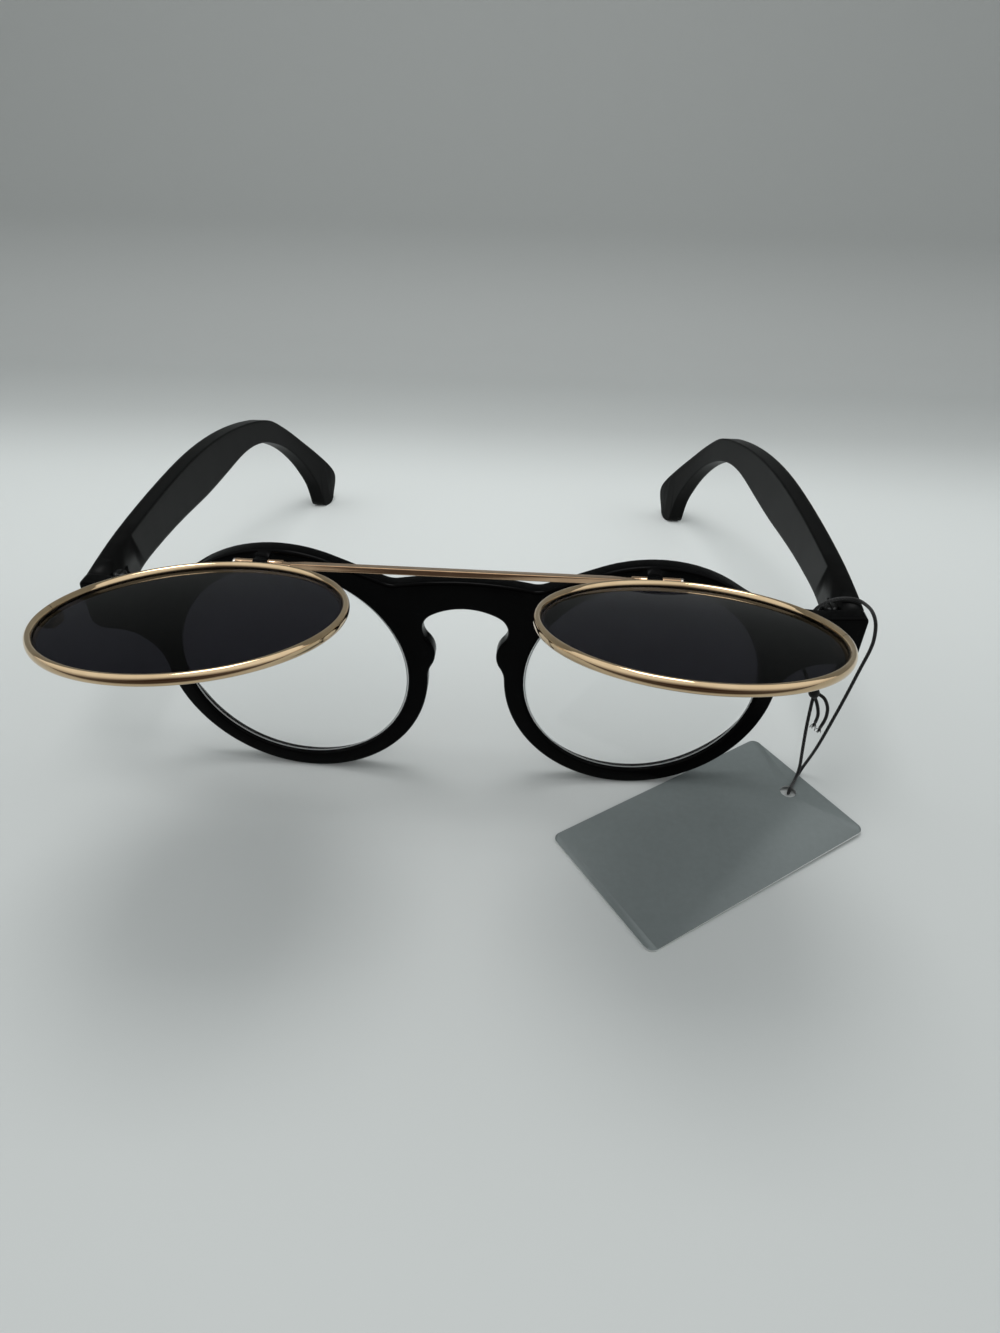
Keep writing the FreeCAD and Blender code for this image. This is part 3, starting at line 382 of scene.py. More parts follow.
@dataclass(frozen=True)
class TwistedCord:
    """Thin black cord, laid of two strands that show as slanting ribs along its own UV map."""

    name: str
    low: Triple = (0.002, 0.002, 0.002)
    high: Triple = (0.011, 0.011, 0.012)
    ribs: float = 160.0
    slant: float = 2.0
    sway: float = 0.6
    rib_height: float = 0.12 * MM
    rib: float = 0.8

    def build(self) -> bpy.types.Material:
        """Builds the material.

        Returns:
            The material.
        """
        shader = Shader(self.name)
        shader.set(Roughness=0.85, Sheen_Weight=0.25, Specular_IOR_Level=0.2)
        coordinates = shader.node("ShaderNodeTexCoord")
        mapping = shader.node("ShaderNodeMapping", {"Scale": (self.ribs, self.slant, 1.0)})
        wave = shader.node(
            "ShaderNodeTexWave",
            {"Scale": 1.0, "Distortion": self.sway},
            wave_type="BANDS",
            bands_direction="DIAGONAL",
        )
        shader.link(coordinates, "UV", mapping, "Vector")
        shader.link(mapping, "Vector", wave, "Vector")
        shader.tint(wave, self.low, self.high)
        shader.bump(wave, self.rib_height, self.rib)
        return shader.material


@dataclass(frozen=True)
class Finishes:
    """Every material of the object, built once."""

    front: bpy.types.Material
    temple: bpy.types.Material
    clear: bpy.types.Material
    bevel: bpy.types.Material
    tinted: bpy.types.Material
    gold: bpy.types.Material
    bar: bpy.types.Material
    steel: bpy.types.Material
    dark: bpy.types.Material
    card: bpy.types.Material
    card_edge: bpy.types.Material
    cord: bpy.types.Material

    @classmethod
    def build(cls) -> "Finishes":
        """Builds all the materials.

        Returns:
            The finishes.
        """
        made = {
            "front": BlackPlastic("polished_black"),
            "temple": BlackPlastic(
                "satin_black",
                low=(0.0008, 0.0008, 0.0008),
                high=(0.0016, 0.0016, 0.0016),
                gloss=(0.34, 0.42),
                specular=0.075,
                grain=0.8,
                edge=0.8 * MM,
            ),
            "clear": LensGlass("clear_lens_glass"),
            # partly painted highlight: the pale ground bevel also stands in for a line of light
            # along each clear lens's edge
            "bevel": SilverCard("ground_bevel_and_highlight", (0.42, 0.44, 0.44), (0.55, 0.57, 0.57)),
            "tinted": LensGlass("tinted_lens_glass", through=(0.015, 0.0145, 0.019), ior=1.08),
            "gold": BrightMetal(
                "gold_wire", (0.57, 0.41, 0.24), (0.74, 0.56, 0.36), gloss=(0.04, 0.08)
            ),
            # painted reflection: the bar's dark brown-red low end mottles it like reflections of a
            # dark room
            "bar": BrightMetal(
                "gold_bar", (0.44, 0.27, 0.16), (0.68, 0.48, 0.31), gloss=(0.06, 0.12)
            ),
            "steel": BrightMetal(
                "screw_steel", (0.5, 0.45, 0.4), (0.62, 0.57, 0.52), gloss=(0.2, 0.32)
            ),
            "dark": BrightMetal(
                "blackened_steel", (0.018, 0.018, 0.018), (0.04, 0.04, 0.04), gloss=(0.3, 0.45)
            ),
            "card": SilverCard("silver_card"),
            "card_edge": SilverCard("card_edge", (0.5, 0.52, 0.52), (0.62, 0.64, 0.63)),
            "cord": TwistedCord("black_cord"),
        }
        return cls(**{name: finish.build() for name, finish in made.items()})


# ------------------------------------------------------------------------------- node recipes
class Recipe(Wiring):
    """A Geometry Nodes tree with named sizes, turned into plain meshes one piece at a time."""

    def __init__(self, name: str, **sizes: str) -> None:
        """Starts a tree with its named inputs.

        Args:
            name: the tree's name.
            sizes: the inputs' names, and the kinds of value that they take.
        """
        super().__init__(bpy.data.node_groups.new(name, "GeometryNodeTree"))
        self.tree.is_modifier = True
        add_socket = self.tree.interface.new_socket
        add_socket("Geometry", in_out="OUTPUT", socket_type="NodeSocketGeometry")
        self.identifiers = {
            size: add_socket(size, in_out="INPUT", socket_type="NodeSocket" + kind).identifier
            for size, kind in sizes.items()
        }
        self.entry = self.node("NodeGroupInput")
        self.exit = self.node("NodeGroupOutput")

    def close(self, last: bpy.types.Node, out: str, smooth: bool) -> None:
        """Ends the tree in Realize Instances and Set Material, from an input named finish.

        Args:
            last: the node that gives the geometry.
            out: its output socket.
            smooth: shades the geometry smooth first.
        """
        if smooth:
            rounded = self.node("GeometryNodeSetShadeSmooth")
            self.link(last, out, rounded, "Geometry")
            last, out = rounded, "Geometry"
        real = self.node("GeometryNodeRealizeInstances")
        dressed = self.node("GeometryNodeSetMaterial")
        self.link(last, out, real, "Geometry")
        self.link(real, "Geometry", dressed, "Geometry")
        self.link(self.entry, "finish", dressed, "Material")
        self.link(dressed, "Geometry", self.exit, "Geometry")

    def make(self, name: str, place: Matrix, **values: object) -> bpy.types.Object:
        """Turns the tree into one plain mesh object with its place in its mesh.

        Args:
            name: the piece's name.
            place: where the piece goes.
            values: the tree's inputs.

        Returns:
            The piece, at the origin.
        """
        host = add(name + "_host", bpy.data.meshes.new(name + "_host"))
        modifier = host.modifiers.new("recipe", "NODES")
        modifier.node_group = self.tree
        for size, value in values.items():
            modifier[self.identifiers[size]] = value
        evaluated = host.evaluated_get(bpy.context.evaluated_depsgraph_get())
        mesh = bpy.data.meshes.new_from_object(evaluated)
        host.modifiers.remove(modifier)
        bpy.data.objects.remove(host)
        mesh.name = name
        mesh.transform(place)
        LOG.info("made %s: %d faces", name, len(mesh.polygons))
        return add(name, mesh)


def domed_lens(steps: int = 49, around: int = 145, face: float = 11 / 12) -> Recipe:
    """The tree of a round domed lens with a V edge, its front pole at the origin, looking along Z.

    A grid is wrapped into a closed shell: its length runs from the front pole over the edge to the
    back pole, and its width runs once round the lens.

    Args:
        steps: points from pole to pole.
        around: points once round the lens.
        face: the share of the way from a pole to the tip of the edge that lies on the dome.

    Returns:
        The tree.
    """
    lens = Recipe(
        "domed_lens",
        flat_radius="Float",
        edge_bite="Float",
        thickness="Float",
        base_radius="Float",
        finish="Material",
    )
    grid = lens.node(
        "GeometryNodeMeshGrid",
        {"Size X": 1.0, "Size Y": 1.0, "Vertices X": steps, "Vertices Y": around},
    )
    place = lens.node("GeometryNodeInputPosition")
    split = lens.node("ShaderNodeSeparateXYZ")
    lens.link(place, "Position", split, "Vector")
    outward = lens.calc("MULTIPLY_ADD", lens.calc("ABSOLUTE", split), -2.0, 1.0)
    on_face = lens.calc("DIVIDE", outward, face, clamp=True)
    past_face = lens.calc("SUBTRACT", outward, face)
    on_edge = lens.calc("MULTIPLY", past_face, 1 / (1 - face), clamp=True)
    face_reach = lens.calc("MULTIPLY", on_face, "flat_radius")
    reach = lens.calc("MULTIPLY_ADD", on_edge, "edge_bite", face_reach)
    squared = lens.calc("POWER", face_reach, 2.0)
    dome = lens.calc("DIVIDE", squared, lens.calc("MULTIPLY", "base_radius", 2.0))
    half = lens.calc("MULTIPLY", "thickness", 0.5)
    middle = lens.calc("SUBTRACT", lens.calc("MULTIPLY", dome, -1.0), half)
    ahead = lens.calc("MULTIPLY", lens.calc("SIGN", split), -1.0)
    thinned = lens.calc("MULTIPLY", half, lens.calc("SUBTRACT", 1.0, on_edge))
    turn = lens.calc("MULTIPLY", (split, "Y"), 2 * math.pi)
    spot = lens.node("ShaderNodeCombineXYZ")
    lens.link(lens.calc("MULTIPLY", reach, lens.calc("COSINE", turn)), 0, spot, "X")
    lens.link(lens.calc("MULTIPLY", reach, lens.calc("SINE", turn)), 0, spot, "Y")
    lens.link(lens.calc("ADD", middle, lens.calc("MULTIPLY", ahead, thinned)), 0, spot, "Z")
    wrapped = lens.node("GeometryNodeSetPosition")
    lens.link(grid, "Mesh", wrapped, "Geometry")
    lens.link(spot, "Vector", wrapped, "Position")
    closed = lens.node("GeometryNodeMergeByDistance", {"Distance": 0.001 * MM})
    lens.link(wrapped, "Geometry", closed, "Geometry")
    lens.close(closed, "Geometry", smooth=True)
    return lens


def bent_wire(steps: int = 192, around: int = 28) -> Recipe:
    """The tree that bends a wire of oval section into an open ring about Z.

    Args:
        steps: points along the ring.
        around: points round the section.

    Returns:
        The tree.
    """
    wire = Recipe(
        "bent_wire",
        radius="Float",
        wall="Float",
        depth="Float",
        start="Float",
        sweep="Float",
        finish="Material",
    )
    arc = wire.node("GeometryNodeCurveArc", {"Resolution": steps}, mode="RADIUS")
    upright = wire.node("GeometryNodeSetCurveNormal", mode="Z_UP")
    section = wire.node(
        "GeometryNodeCurvePrimitiveCircle", {"Resolution": around, "Radius": 0.5}, mode="RADIUS"
    )
    across = wire.node("ShaderNodeCombineXYZ", {"Z": 1.0})
    oval = wire.node("GeometryNodeTransform")
    skin = wire.node("GeometryNodeCurveToMesh", {"Fill Caps": True})
    for size, node, socket in (
        ("radius", arc, "Radius"),
        ("start", arc, "Start Angle"),
        ("sweep", arc, "Sweep Angle"),
        ("wall", across, "X"),
        ("depth", across, "Y"),
    ):
        wire.link(wire.entry, size, node, socket)
    wire.link(across, "Vector", oval, "Scale")
    wire.link(arc, "Curve", upright, "Curve")
    wire.link(section, "Curve", oval, "Geometry")
    wire.link(upright, "Curve", skin, "Curve")
    wire.link(oval, "Geometry", skin, "Profile Curve")
    wire.close(skin, "Mesh", smooth=True)
    return wire


def frayed_end(scatter: float, shortest: float = 0.45) -> Recipe:
    """The tree of a tuft of loose, crooked fibres that run from the origin along -Z.

    Args:
        scatter: how far from the origin a fibre starts at most, along each axis.
        shortest: the least share of the full length that a fibre has.

    Returns:
        The tree.
    """
    tuft = Recipe(
        "frayed_end",
        fibres="Int",
        length="Float",
        thickness="Float",
        spread="Vector",
        narrow="Vector",
        seed="Int",
        finish="Material",
    )
    points = tuft.node("GeometryNodePoints")
    start = tuft.node(
        "FunctionNodeRandomValue",
        {"Min": [-scatter] * 3, "Max": [scatter] * 3},
        data_type="FLOAT_VECTOR",
    )
    lean = tuft.node("FunctionNodeRandomValue", data_type="FLOAT_VECTOR")
    share = tuft.node("FunctionNodeRandomValue", {"Min": shortest}, data_type="FLOAT")
    fibre = tuft.node(
        "GeometryNodeCurvePrimitiveBezierSegment",
        {
            "Resolution": 6,
            "Start": (0.0, 0.0, 0.0),
            "Start Handle": (0.1, 0.0, -0.3),
            "End Handle": (-0.12, 0.05, -0.7),
            "End": (0.06, 0.0, -1.0),
        },
    )
    scaled = tuft.node("GeometryNodeTransform")
    stood = tuft.node("GeometryNodeInstanceOnPoints")
    real = tuft.node("GeometryNodeRealizeInstances")
    section = tuft.node("GeometryNodeCurvePrimitiveCircle", {"Resolution": 5}, mode="RADIUS")
    skin = tuft.node("GeometryNodeCurveToMesh", {"Fill Caps": True})
    for size, node, socket in (
        ("fibres", points, "Count"),
        ("seed", start, "Seed"),
        ("seed", lean, "Seed"),
        ("seed", share, "Seed"),
        ("narrow", lean, "Min"),
        ("spread", lean, "Max"),
        ("length", scaled, "Scale"),
        ("thickness", section, "Radius"),
    ):
        tuft.link(tuft.entry, size, node, socket)
    tuft.link(start, "Value", points, "Position")
    tuft.link(fibre, "Curve", scaled, "Geometry")
    tuft.link(points, "Points", stood, "Points")
    tuft.link(scaled, "Geometry", stood, "Instance")
    tuft.link(lean, "Value", stood, "Rotation")
    tuft.link(share, "Value", stood, "Scale")
    tuft.link(stood, "Instances", real, "Geometry")
    tuft.link(real, "Geometry", skin, "Curve")
    tuft.link(section, "Curve", skin, "Profile Curve")
    tuft.close(skin, "Mesh", smooth=False)
    return tuft


# ------------------------------------------------------------------------------- pieces
class Body(Enum):
    """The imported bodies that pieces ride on."""

    FRAME = "frame"
    FLIP = "flip_unit"
    LEFT = "left_temple"
    RIGHT = "right_temple"


class Slot(Enum):
    """The record's material slots."""

    FRONT = "front_acetate"
    TEMPLE = "temple_acetate"
    CLEAR = "clear_lens"
    TINTED = "tinted_lens"
    WIRE = "gold_wire"
    BAR = "gold_bar"
    SCREW = "screw_steel"
    CARD = "tag_card"
    CORD = "tag_cord"


def settle(piece: bpy.types.Object, body: Body, node: str | None = None) -> None:
    """Args:
        piece: the piece, at the origin.
        body: the body that it rides on.
        node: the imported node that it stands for, if it does.
    """
    if node:
        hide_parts(node)
    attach(piece, body.value)


def shell(
    node: str, body: Body, material: bpy.types.Material, angle: float = 35.0
) -> bpy.types.Object:
    """A smooth-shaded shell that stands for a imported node, made from a merged copy of its mesh.

    Args:
        node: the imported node.
        body: the body it rides on.
        material: its finish.
        angle: edges sharper than this many degrees stay sharp.

    Returns:
        The shell.
    """
    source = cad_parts[node]
    mesh = source.data.copy()
    mesh.name = node + "_shell"
    mesh.transform(source.matrix_world)
    work = bmesh.new()
    work.from_mesh(mesh)
    bmesh.ops.remove_doubles(work, verts=work.verts, dist=WELD)
    bmesh.ops.dissolve_degenerate(work, edges=work.edges, dist=SLIVER)
    for face in work.faces:
        face.smooth = True
    work.to_mesh(mesh)
    work.free()
    mesh.set_sharp_from_angle(angle=math.radians(angle))
    mesh.materials.clear()
    mesh.materials.append(material)
    piece = add(node + "_shell", mesh)
    settle(piece, body, node)
    LOG.info("shell %s: %d faces", node, len(mesh.polygons))
    return piece


@dataclass
class Front:
    """The moulded front with its clear lenses and the temple screws.

    Each clear lens is domed, wrapped a little round the face, and its ground bevel shows as a thin
    pale ring
    inside the rim: partly the bevel's own frosted colour, partly a painted highlight along the
    lens's edge.
    """

    finishes: Finishes
    lens_pole: Triple = (33.16, 0.978, 25.5)
    lens_wrap: float = 2.6
    lens_flat: float = 22.06 * MM
    lens_bite: float = 0.55 * MM
    lens_thickness: float = 1.3 * MM
    lens_base: float = 360.0 * MM
    bevel_highlight_radius: float = 21.93 * MM
    bevel_highlight_width: float = 0.26 * MM
    bevel_depth: float = 0.1 * MM

    def build(self) -> None:
        """Builds the front, the lenses and the screws."""
        shell("front_frame", Body.FRAME, self.finishes.front)
        lens = domed_lens()
        ring = bent_wire()
        for side in Side:
            self.lens(lens, ring, side)
            shell("temple_screw_" + side.word, Body.FRAME, self.finishes.dark)

    def lens(self, lens: Recipe, ring: Recipe, side: Side) -> None:
        """Builds one clear lens and the pale ring of its bevel round it, partly a painted highlight.

        Args:
            lens: the tree of the lens.
            ring: the tree of the bevel's ring.
            side: the side that it is on.
        """
        wrap = math.radians(self.lens_wrap)
        across, back, up = self.lens_pole
        ahead = Vector((side.value * math.sin(wrap), -math.cos(wrap), 0.0))
        place = aimed(front_point(side.value * across, back, up), ahead)
        glass = lens.make(
            "clear_glass_" + side.word,
            place,
            flat_radius=self.lens_flat,
            edge_bite=self.lens_bite,
            thickness=self.lens_thickness,
            base_radius=self.lens_base,
            finish=self.finishes.clear,
        )
        settle(glass, Body.FRAME, "clear_lens_" + side.word)
        edge = -self.lens_flat**2 / (2 * self.lens_base)
        # the pale bevel ring: the ground bevel's own colour, and partly a painted highlight
        bevel = ring.make(
            "lens_bevel_" + side.word,
            place @ Matrix.Translation((0.0, 0.0, edge + self.bevel_depth / 2)),
            radius=self.bevel_highlight_radius,
            wall=self.bevel_highlight_width,
            depth=self.bevel_depth,
            start=0.0,
            sweep=2 * math.pi,
            finish=self.finishes.bevel,
        )
        settle(bevel, Body.FRAME)


@dataclass
class Temples:
    """The two folding temples."""

    finishes: Finishes

    def build(self) -> None:
        """Builds the shells."""
        for side in Side:
            shell("temple_" + side.word, Body[side.name], self.finishes.temple)


@dataclass
class FlipUnit:
    """The raised rims, their lenses, the bar and its hinges.

    Each rim is bent wire: an arc with an oval section, open by a slit at the temporal end. Its
    tinted lens is domed, with a V edge inside the wire.
    """

    finishes: Finishes
    rim_radius: float = 22.6 * MM
    rim_wall: float = 1.18 * MM
    rim_depth: float = 1.7 * MM
    rim_slit: float = 0.14 * MM
    raised: float = 104.4
    twist: float = 1.8
    toe: float = 1.4
    seat: Triple = (36.2, 0.0, -23.6)
    hinge: Triple = (-1.2, -1.93, 50.4)
    tint_pole: float = 0.663 * MM
    tint_flat: float = 21.38 * MM
    tint_bite: float = 0.34 * MM
    tint_thickness: float = 0.62 * MM
    tint_base: float = 300.0 * MM

    def build(self) -> None:
        """Builds the rims and the shells."""
        shell("top_bar", Body.FLIP, self.finishes.bar)
        wire = bent_wire()
        lens = domed_lens()
        for side in Side:
            self.rim(wire, lens, side)
            for node, slot, finish in (
                ("rim_lock_", Slot.WIRE, self.finishes.gold),
                ("rim_screw_", Slot.SCREW, self.finishes.steel),
                ("rim_knuckle_", Slot.BAR, self.finishes.bar),
                ("flip_screw_", Slot.SCREW, self.finishes.steel),
            ):
                shell(node + side.word, Body.FLIP, finish)

    def rim(self, wire: Recipe, lens: Recipe, side: Side) -> None:
        """Builds one rim and its lens where the raised unit holds them.

        Args:
            wire: the tree that bends the wire.
            lens: the tree of the lens.
            side: the side that it is on.
        """
        turn = Matrix.Rotation(-math.radians(self.raised + side.value * self.twist), 4, "X")
        toe = Matrix.Rotation(math.radians(side.value * self.toe), 4, "Z")
        facing = Matrix.Rotation(math.pi / 2, 4, "X")
        across, back, up = self.seat
        middle = Vector(self.hinge) + turn @ Vector((side.value * across, back, up))
        place = Matrix.Translation(front_point(*middle)) @ turn @ (toe @ facing)
        slit = self.rim_slit / self.rim_radius
        rim = wire.make(
            "flip_rim_wire_" + side.word,
            place,
            radius=self.rim_radius - self.rim_wall / 2,
            wall=self.rim_wall,
            depth=self.rim_depth,
            start=slit / 2 + (math.pi if side is Side.LEFT else 0.0),
            sweep=2 * math.pi - slit,
            finish=self.finishes.gold,
        )
        settle(rim, Body.FLIP, "flip_rim_" + side.word)
        glass = lens.make(
            "tinted_glass_" + side.word,
            place @ Matrix.Translation((0.0, 0.0, self.tint_pole)),
            flat_radius=self.tint_flat,
            edge_bite=self.tint_bite,
            thickness=self.tint_thickness,
            base_radius=self.tint_base,
            finish=self.finishes.tinted,
        )
        settle(glass, Body.FLIP, "tinted_lens_" + side.word)


# ------------------------------------------------------------------------------- tag and string
STRING_ROUTE = (
    (66.15, 2.5, 24.1),
    (66.6, 2.9, 18.0),
    (67.6, 3.4, 9.6),
    (68.4, 4.1, 4.9),
    (68.35, 3.65, 2.7),
    (67.5, 2.2, 1.82),
    (66.6, 0.6, 1.78),
    (65.9, -0.55, 1.79),
    (65.85, -0.65, 0.345),
    (66.6, 0.8, 0.34),
    (68.1, 3.4, 0.335),
    (69.2, 5.35, 0.6),
    (70.1, 6.2, 2.2),
    (70.5, 5.5, 5.2),
    (70.7, 3.9, 10.3),
    (71.4, 3.2, 17.0),
    (72.3, 2.8, 24.2),
    (73.1, 2.6, 31.2),
    (73.85, 2.6, 36.0),
    (73.65, 2.75, 39.0),
    (73.3, 3.3, 41.1),
    (72.9, 4.9, 42.1),
    (72.6, 7.0, 41.95),
    (71.6, 8.9, 41.9),
    (69.6, 9.3, 41.92),
    (67.4, 8.9, 41.9),
    (65.2, 8.0, 41.6),
    (63.4, 7.1, 40.4),
    (62.7, 6.55, 38.2),
    (62.6, 6.45, 34.6),
    (63.0, 6.8, 31.0),
    (63.6, 6.1, 28.9),
    (64.3, 4.4, 27.4),
    (65.2, 3.1, 25.9),
    (65.75, 2.7, 25.1),
)
"""The string's control points: from the knot down to the tag, through its hole and under it, up
outside the end piece, over that and down behind it to the knot again. They are counted in
millimetres from the middle of the front's face."""


@dataclass
class SwingTag:
    """The card tag, its black string and the knot with two short, frayed tails."""

    finishes: Finishes
    route: tuple[Triple, ...] = STRING_ROUTE
    string_diameter: float = 0.65 * MM
    fray_count: int = 18
    fray_length: float = 1.7 * MM
    fray_fibre: float = 0.05 * MM
    fray_scatter: float = 0.3
    fray_spread: float = 0.5
    fray_ends: tuple[tuple[Triple, Triple], ...] = (
        ((67.9, 1.8, 19.9), (67.8, 1.9, 17.9)),
        ((69.4, 1.5, 19.4), (68.9, 1.6, 16.9)),
    )

    def build(self) -> None:
        """Builds the tag, the string and the knot."""
        tag = shell("swing_tag", Body.FRAME, self.finishes.card)
        tag.data.materials.append(self.finishes.card_edge)
        for polygon in tag.data.polygons:
            polygon.material_index = int(abs(polygon.normal.z) < 0.5)
        knot = shell("string_knot", Body.FRAME, self.finishes.cord, angle=60.0)
        frays = self.fray()
        string = self.string()
        length = self.measure(string)
        settle(string, Body.FRAME, "tag_string")
        LOG.info("string is %.1f mm long", length / MM)

    def fray(self) -> list[bpy.types.Object]:
        """The loose fibres at the ends of the two tails.

        Returns:
            One tuft for each tail.
        """
        tuft = frayed_end(self.string_diameter * self.fray_scatter)
        widest = Vector((self.fray_spread, self.fray_spread, math.pi))
        made = []
        for number, (before, end) in enumerate(self.fray_ends, start=1):
            tip = front_point(*end)
            piece = tuft.make(
                "tail_fray_%d" % number,
                aimed(tip, front_point(*before) - tip),
                fibres=self.fray_count,
                length=self.fray_length,
                thickness=self.fray_fibre,
                spread=tuple(widest),
                narrow=tuple(-widest),
                seed=number,
                finish=self.finishes.cord,
            )
            settle(piece, Body.FRAME)
            made.append(piece)
        return made

    def string(self) -> bpy.types.Object:
        """The round string on a smooth line that follows the route.

        Returns:
            The curve object.
        """
        curve = bpy.data.curves.new("tag_string_line", "CURVE")
        curve.dimensions = "3D"
        curve.bevel_depth = self.string_diameter / 2
        curve.bevel_resolution = 4
        curve.resolution_u = 8
        curve.use_fill_caps = True
        spline = curve.splines.new("NURBS")
        spline.points.add(len(self.route) - 1)
        for control, point in zip(spline.points, self.route):
            control.co = (*front_point(*point), 1)
        spline.order_u = 3
        spline.use_endpoint_u = True
        curve.materials.append(self.finishes.cord)
        return add("tag_string_line", curve)

    def measure(self, piece: bpy.types.Object) -> float:
        """The length of a cord's own line.

        Args:
            piece: the curve object.

        Returns:
            Its length in metres.
        """
        bare = piece.data.copy()
        bare.bevel_depth = 0.0
        probe = bpy.data.objects.new("probe", bare)
        mesh = bpy.data.meshes.new_from_object(probe)
        spots = [vertex.co for vertex in mesh.vertices]
        length = sum((b - a).length for a, b in zip(spots, spots[1:]))
        bpy.data.objects.remove(probe)
        bpy.data.curves.remove(bare)
        bpy.data.meshes.remove(mesh)
        return length


# ------------------------------------------------------------------------------- studio
@dataclass
class Studio:
    """The pale sweep, the room round it, the lamp and the camera.

    The run along the sweep is counted from the world's origin: back along the floor, then up.
    """

    camera_place: Triple = (13.119, -126.603, 128.055)
    camera_right: Triple = (0.99788, 0.063425, 0.014587)
    camera_up: Triple = (-0.050484, 0.612924, 0.788528)
    camera_sensor: float = 36.0
    camera_clip: tuple[float, float] = (0.005, 20.0)
    focal_share: float = 0.859845
    sweep_back: float = 0.195
    sweep_radius: float = 0.05
    sweep_steps: int = 24
    sweep_height: float = 0.5
    sweep_half_width: float = 1.2
    sweep_front: float = -1.1
    run_start: float = -0.2
    run_end: float = 0.5
    run_sway: float = 0.02
    # painted light and shade: the floor is brightest in a painted band of light from about 0.035 to
    # 0.135 m back, and darker in front and up the wall as painted shade
    painted_light_tones: tuple[tuple[float, float], ...] = (
        (-0.18, 0.55),
        (-0.13, 0.56),
        (-0.08, 0.57),
        (-0.04, 0.6),
        (0.0, 0.66),
        (0.035, 0.73),
        (0.075, 0.79),
        (0.11, 0.8),
        (0.135, 0.7),
        (0.16, 0.56),
        (0.2, 0.5),
        (0.235, 0.46),
        (0.4, 0.46),
    )
    tone_cast: Triple = (0.965, 1.0, 0.99)
    # painted reflection: the run over which the floor turns the room's dark colour for glossy rays
    painted_reflection_end: tuple[float, float] = (-0.13, -0.19)
    room_light: float = 1.05
    room_lean: Triple = (0.0, 0.2, 0.85)
    room_sides: Triple = (0.4, 0.0, 0.0)
    room_full: float = 0.75
    room_dark: Triple = (0.045, 0.028, 0.022)
    room_bright: Triple = (0.93, 0.96, 0.96)
    room_seen: Triple = (0.43, 0.45, 0.445)
    lamp_place: Triple = (-0.015, -0.012, 0.32)
    lamp_aim: Triple = (-0.015, -0.04, 0.0)
    lamp_side: float = 0.13
    lamp_watts: float = 0.31

    def build(self) -> None:
        """Builds everything that isn't the object."""
        self.camera()
        self.sweep()
        self.world()
        self.lamp()

    def camera(self) -> None:
        """Sets the camera that gives the photograph's view."""
        data = bpy.data.cameras.new("camera")
        data.sensor_fit = "HORIZONTAL"
        data.sensor_width = self.camera_sensor
        data.lens = self.camera_sensor * self.focal_share
        data.clip_start, data.clip_end = self.camera_clip
        right = Vector(self.camera_right).normalized()
        back = right.cross(Vector(self.camera_up)).normalized()
        turn = Matrix((right, back.cross(right), back)).transposed().to_4x4()
        piece = add("camera", data)
        piece.matrix_world = Matrix.Translation(front_point(*self.camera_place)) @ turn
        bpy.context.scene.camera = piece

    def sweep(self) -> None:
        """A pale floor that curves up into a backdrop."""
        profile = [(self.sweep_front, 0.0), (self.sweep_back, 0.0)]
        for step in range(1, self.sweep_steps + 1):
            turn = math.pi / 2 * step / self.sweep_steps
            run = self.sweep_back + self.sweep_radius * math.sin(turn)
            profile.append((run, self.sweep_radius * (1 - math.cos(turn))))
        profile.append((self.sweep_back + self.sweep_radius, self.sweep_height))
        mesh = bpy.data.meshes.new("sweep")
        width = self.sweep_half_width
        vertices = [(side * width, y, z) for y, z in profile for side in (-1, 1)]
        faces = [(2 * i, 2 * i + 1, 2 * i + 3, 2 * i + 2) for i in range(len(profile) - 1)]
        mesh.from_pydata(vertices, [], faces)
        mesh.shade_smooth()
        shader = Shader("pale_sweep")
        shader.set(Roughness=0.6, Specular_IOR_Level=0.2)
        self.paint(shader)
        mesh.materials.append(shader.material)
        add("sweep", mesh)

    def paint(self, shader: Shader) -> None:
        """Paints light and shade into the sweep's colour along its run: floor from front to back,
        then up the wall.

        Where the floor runs out in front of the camera's view, glossy rays see it painted dark: a
        painted reflection of a dark room in polished pieces. The sweep is clear from behind.

        Args:
            shader: the sweep's material.
        """
        place = shader.node("ShaderNodeTexCoord")
        split = shader.node("ShaderNodeSeparateXYZ")
        shader.link(place, "Object", split, "Vector")
        run = shader.calc("ADD", (split, "Y"), (split, "Z"))
        cloud = shader.noise(7.0, 2.0)
        swayed = shader.calc("MULTIPLY_ADD", (cloud, "Fac"), self.run_sway, run)
        spread = shader.node(
            "ShaderNodeMapRange", {"From Min": self.run_start, "From Max": self.run_end}
        )
        shader.link(swayed, "Value", spread, "Value")
        # the ramp paints light and shade into the sweep's colour along the run
        ramp = shader.node("ShaderNodeValToRGB")
        ramp.color_ramp.interpolation = "B_SPLINE"
        elements = ramp.color_ramp.elements
        while len(elements) < len(self.painted_light_tones):
            elements.new(0.5)
        for element, (along, tone) in zip(elements, self.painted_light_tones):
            element.position = (along - self.run_start) / (self.run_end - self.run_start)
            element.color = (*[tone * share for share in self.tone_cast], 1)
        shader.link(spread, "Result", ramp, "Fac")
        # painted reflection: glossy rays see the floor in front in the room's dark colour, so
        # polished pieces mirror a dark room there
        near, far = self.painted_reflection_end
        ahead = shader.node("ShaderNodeMapRange", {"From Min": near, "From Max": far})
        shader.link(run, "Value", ahead, "Value")
        ray = shader.node("ShaderNodeLightPath")
        dark = shader.calc("MULTIPLY", (ahead, "Result"), (ray, "Is Glossy Ray"))
        reflection_painted = shader.node("ShaderNodeMix", {"B": (*self.room_dark, 1)}, data_type="RGBA")
        shader.link(dark, "Value", reflection_painted, "Factor")
        shader.link(ramp, "Color", reflection_painted, "A")
        shader.link(reflection_painted, "Result", shader.surface, "Base Color")
        shader.clear_where(shader.node("ShaderNodeNewGeometry"), "Backfacing")

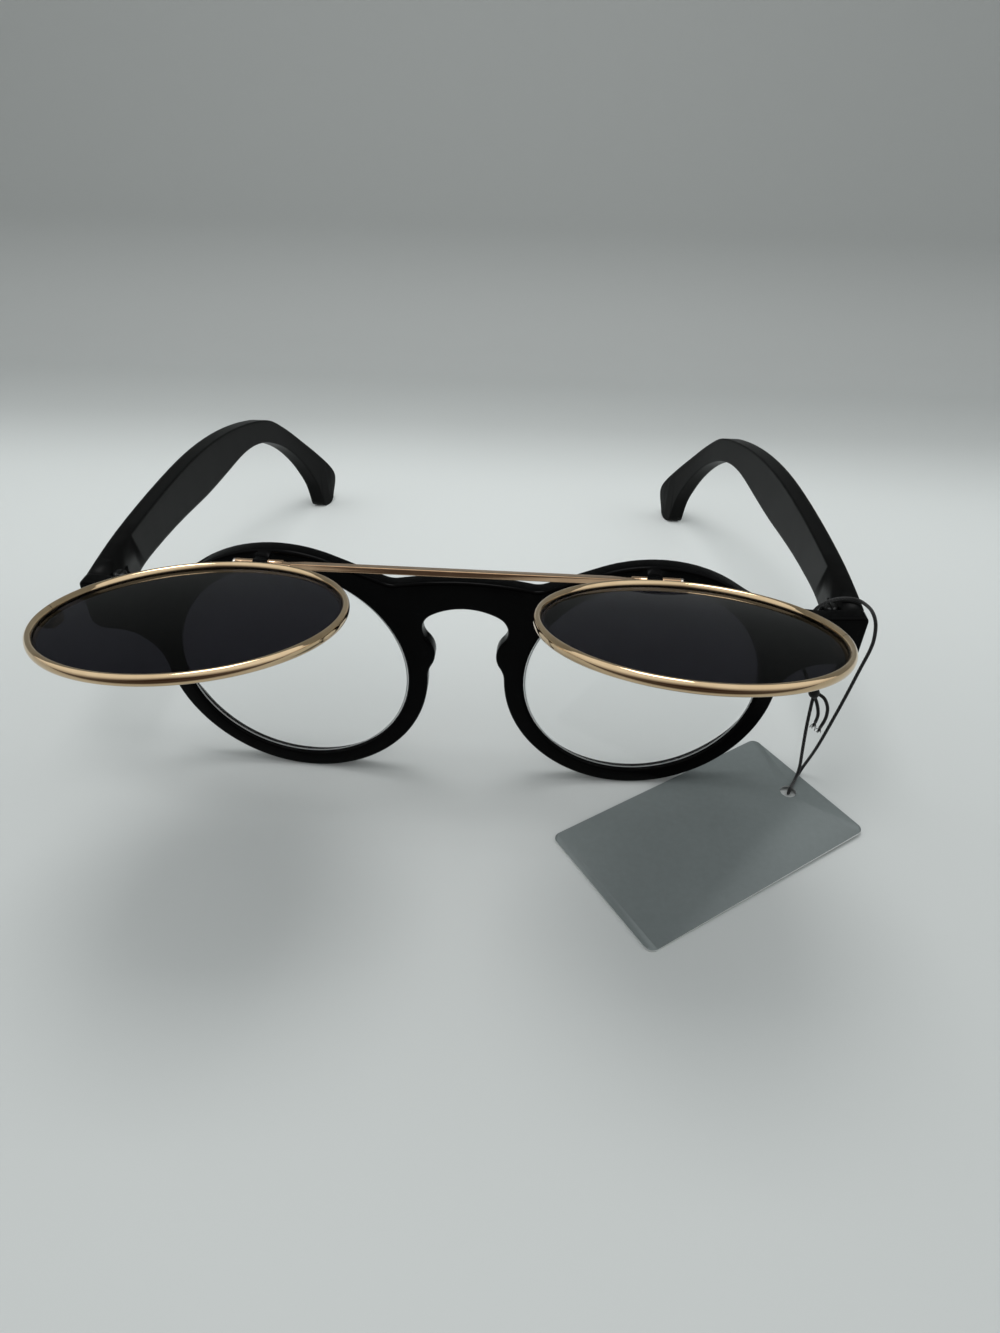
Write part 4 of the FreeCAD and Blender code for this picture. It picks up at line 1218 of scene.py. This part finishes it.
    def world(self) -> None:
        """A soft room: bright overhead, dark behind the camera, plain pale grey where it shows."""
        world = bpy.data.worlds.new("room")
        bpy.context.scene.world = world
        world.use_nodes = True
        room = Wiring(world.node_tree)
        background = world.node_tree.nodes["Background"]
        background.inputs["Strength"].default_value = self.room_light
        direction = room.node("ShaderNodeTexCoord")
        lean = room.node("ShaderNodeVectorMath", {1: self.room_lean}, operation="DOT_PRODUCT")
        both = room.node("ShaderNodeVectorMath", operation="ABSOLUTE")
        sides = room.node("ShaderNodeVectorMath", {1: self.room_sides}, operation="DOT_PRODUCT")
        room.link(direction, "Generated", lean, 0)
        room.link(direction, "Generated", both, 0)
        room.link(both, "Vector", sides, 0)
        total = room.calc("ADD", (lean, "Value"), (sides, "Value"))
        ramp = room.node("ShaderNodeValToRGB")
        ramp.color_ramp.interpolation = "EASE"
        dark, bright = ramp.color_ramp.elements
        dark.position, dark.color = 0.0, (*self.room_dark, 1)
        bright.position, bright.color = self.room_full, (*self.room_bright, 1)
        room.link(total, "Value", ramp, "Fac")
        seen = room.node("ShaderNodeLightPath")
        plain = room.node("ShaderNodeMix", {"B": (*self.room_seen, 1)}, data_type="RGBA")
        room.link(seen, "Is Camera Ray", plain, "Factor")
        room.link(ramp, "Color", plain, "A")
        room.link(plain, "Result", background, "Color")

    def lamp(self) -> None:
        """Hangs one soft square lamp over the glasses."""
        data = bpy.data.lights.new("overhead", "AREA")
        data.shape = "SQUARE"
        data.size = self.lamp_side
        data.energy = self.lamp_watts
        direction = Vector(self.lamp_aim) - Vector(self.lamp_place)
        piece = add("overhead", data)
        piece.location = self.lamp_place
        piece.rotation_euler = direction.to_track_quat("-Z", "Y").to_euler()


# ------------------------------------------------------------------------------- build
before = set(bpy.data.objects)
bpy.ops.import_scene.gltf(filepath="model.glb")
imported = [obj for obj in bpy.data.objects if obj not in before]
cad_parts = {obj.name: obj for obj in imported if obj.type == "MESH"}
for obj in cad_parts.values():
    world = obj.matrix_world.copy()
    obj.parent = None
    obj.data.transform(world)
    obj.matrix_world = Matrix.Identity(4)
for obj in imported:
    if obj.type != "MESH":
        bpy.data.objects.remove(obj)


def main() -> None:
    """Builds the studio and dresses each sub-assembly in turn."""
    logging.basicConfig(level=logging.INFO, format="%(name)s %(message)s")
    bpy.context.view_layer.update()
    bpy.context.scene.view_settings.view_transform = "Standard"
    finishes = Finishes.build()
    Studio().build()
    for assembly in (Front(finishes), Temples(finishes), FlipUnit(finishes), SwingTag(finishes)):
        assembly.build()
        LOG.info("built %s", type(assembly).__name__)


if __name__ == "__main__":
    main()
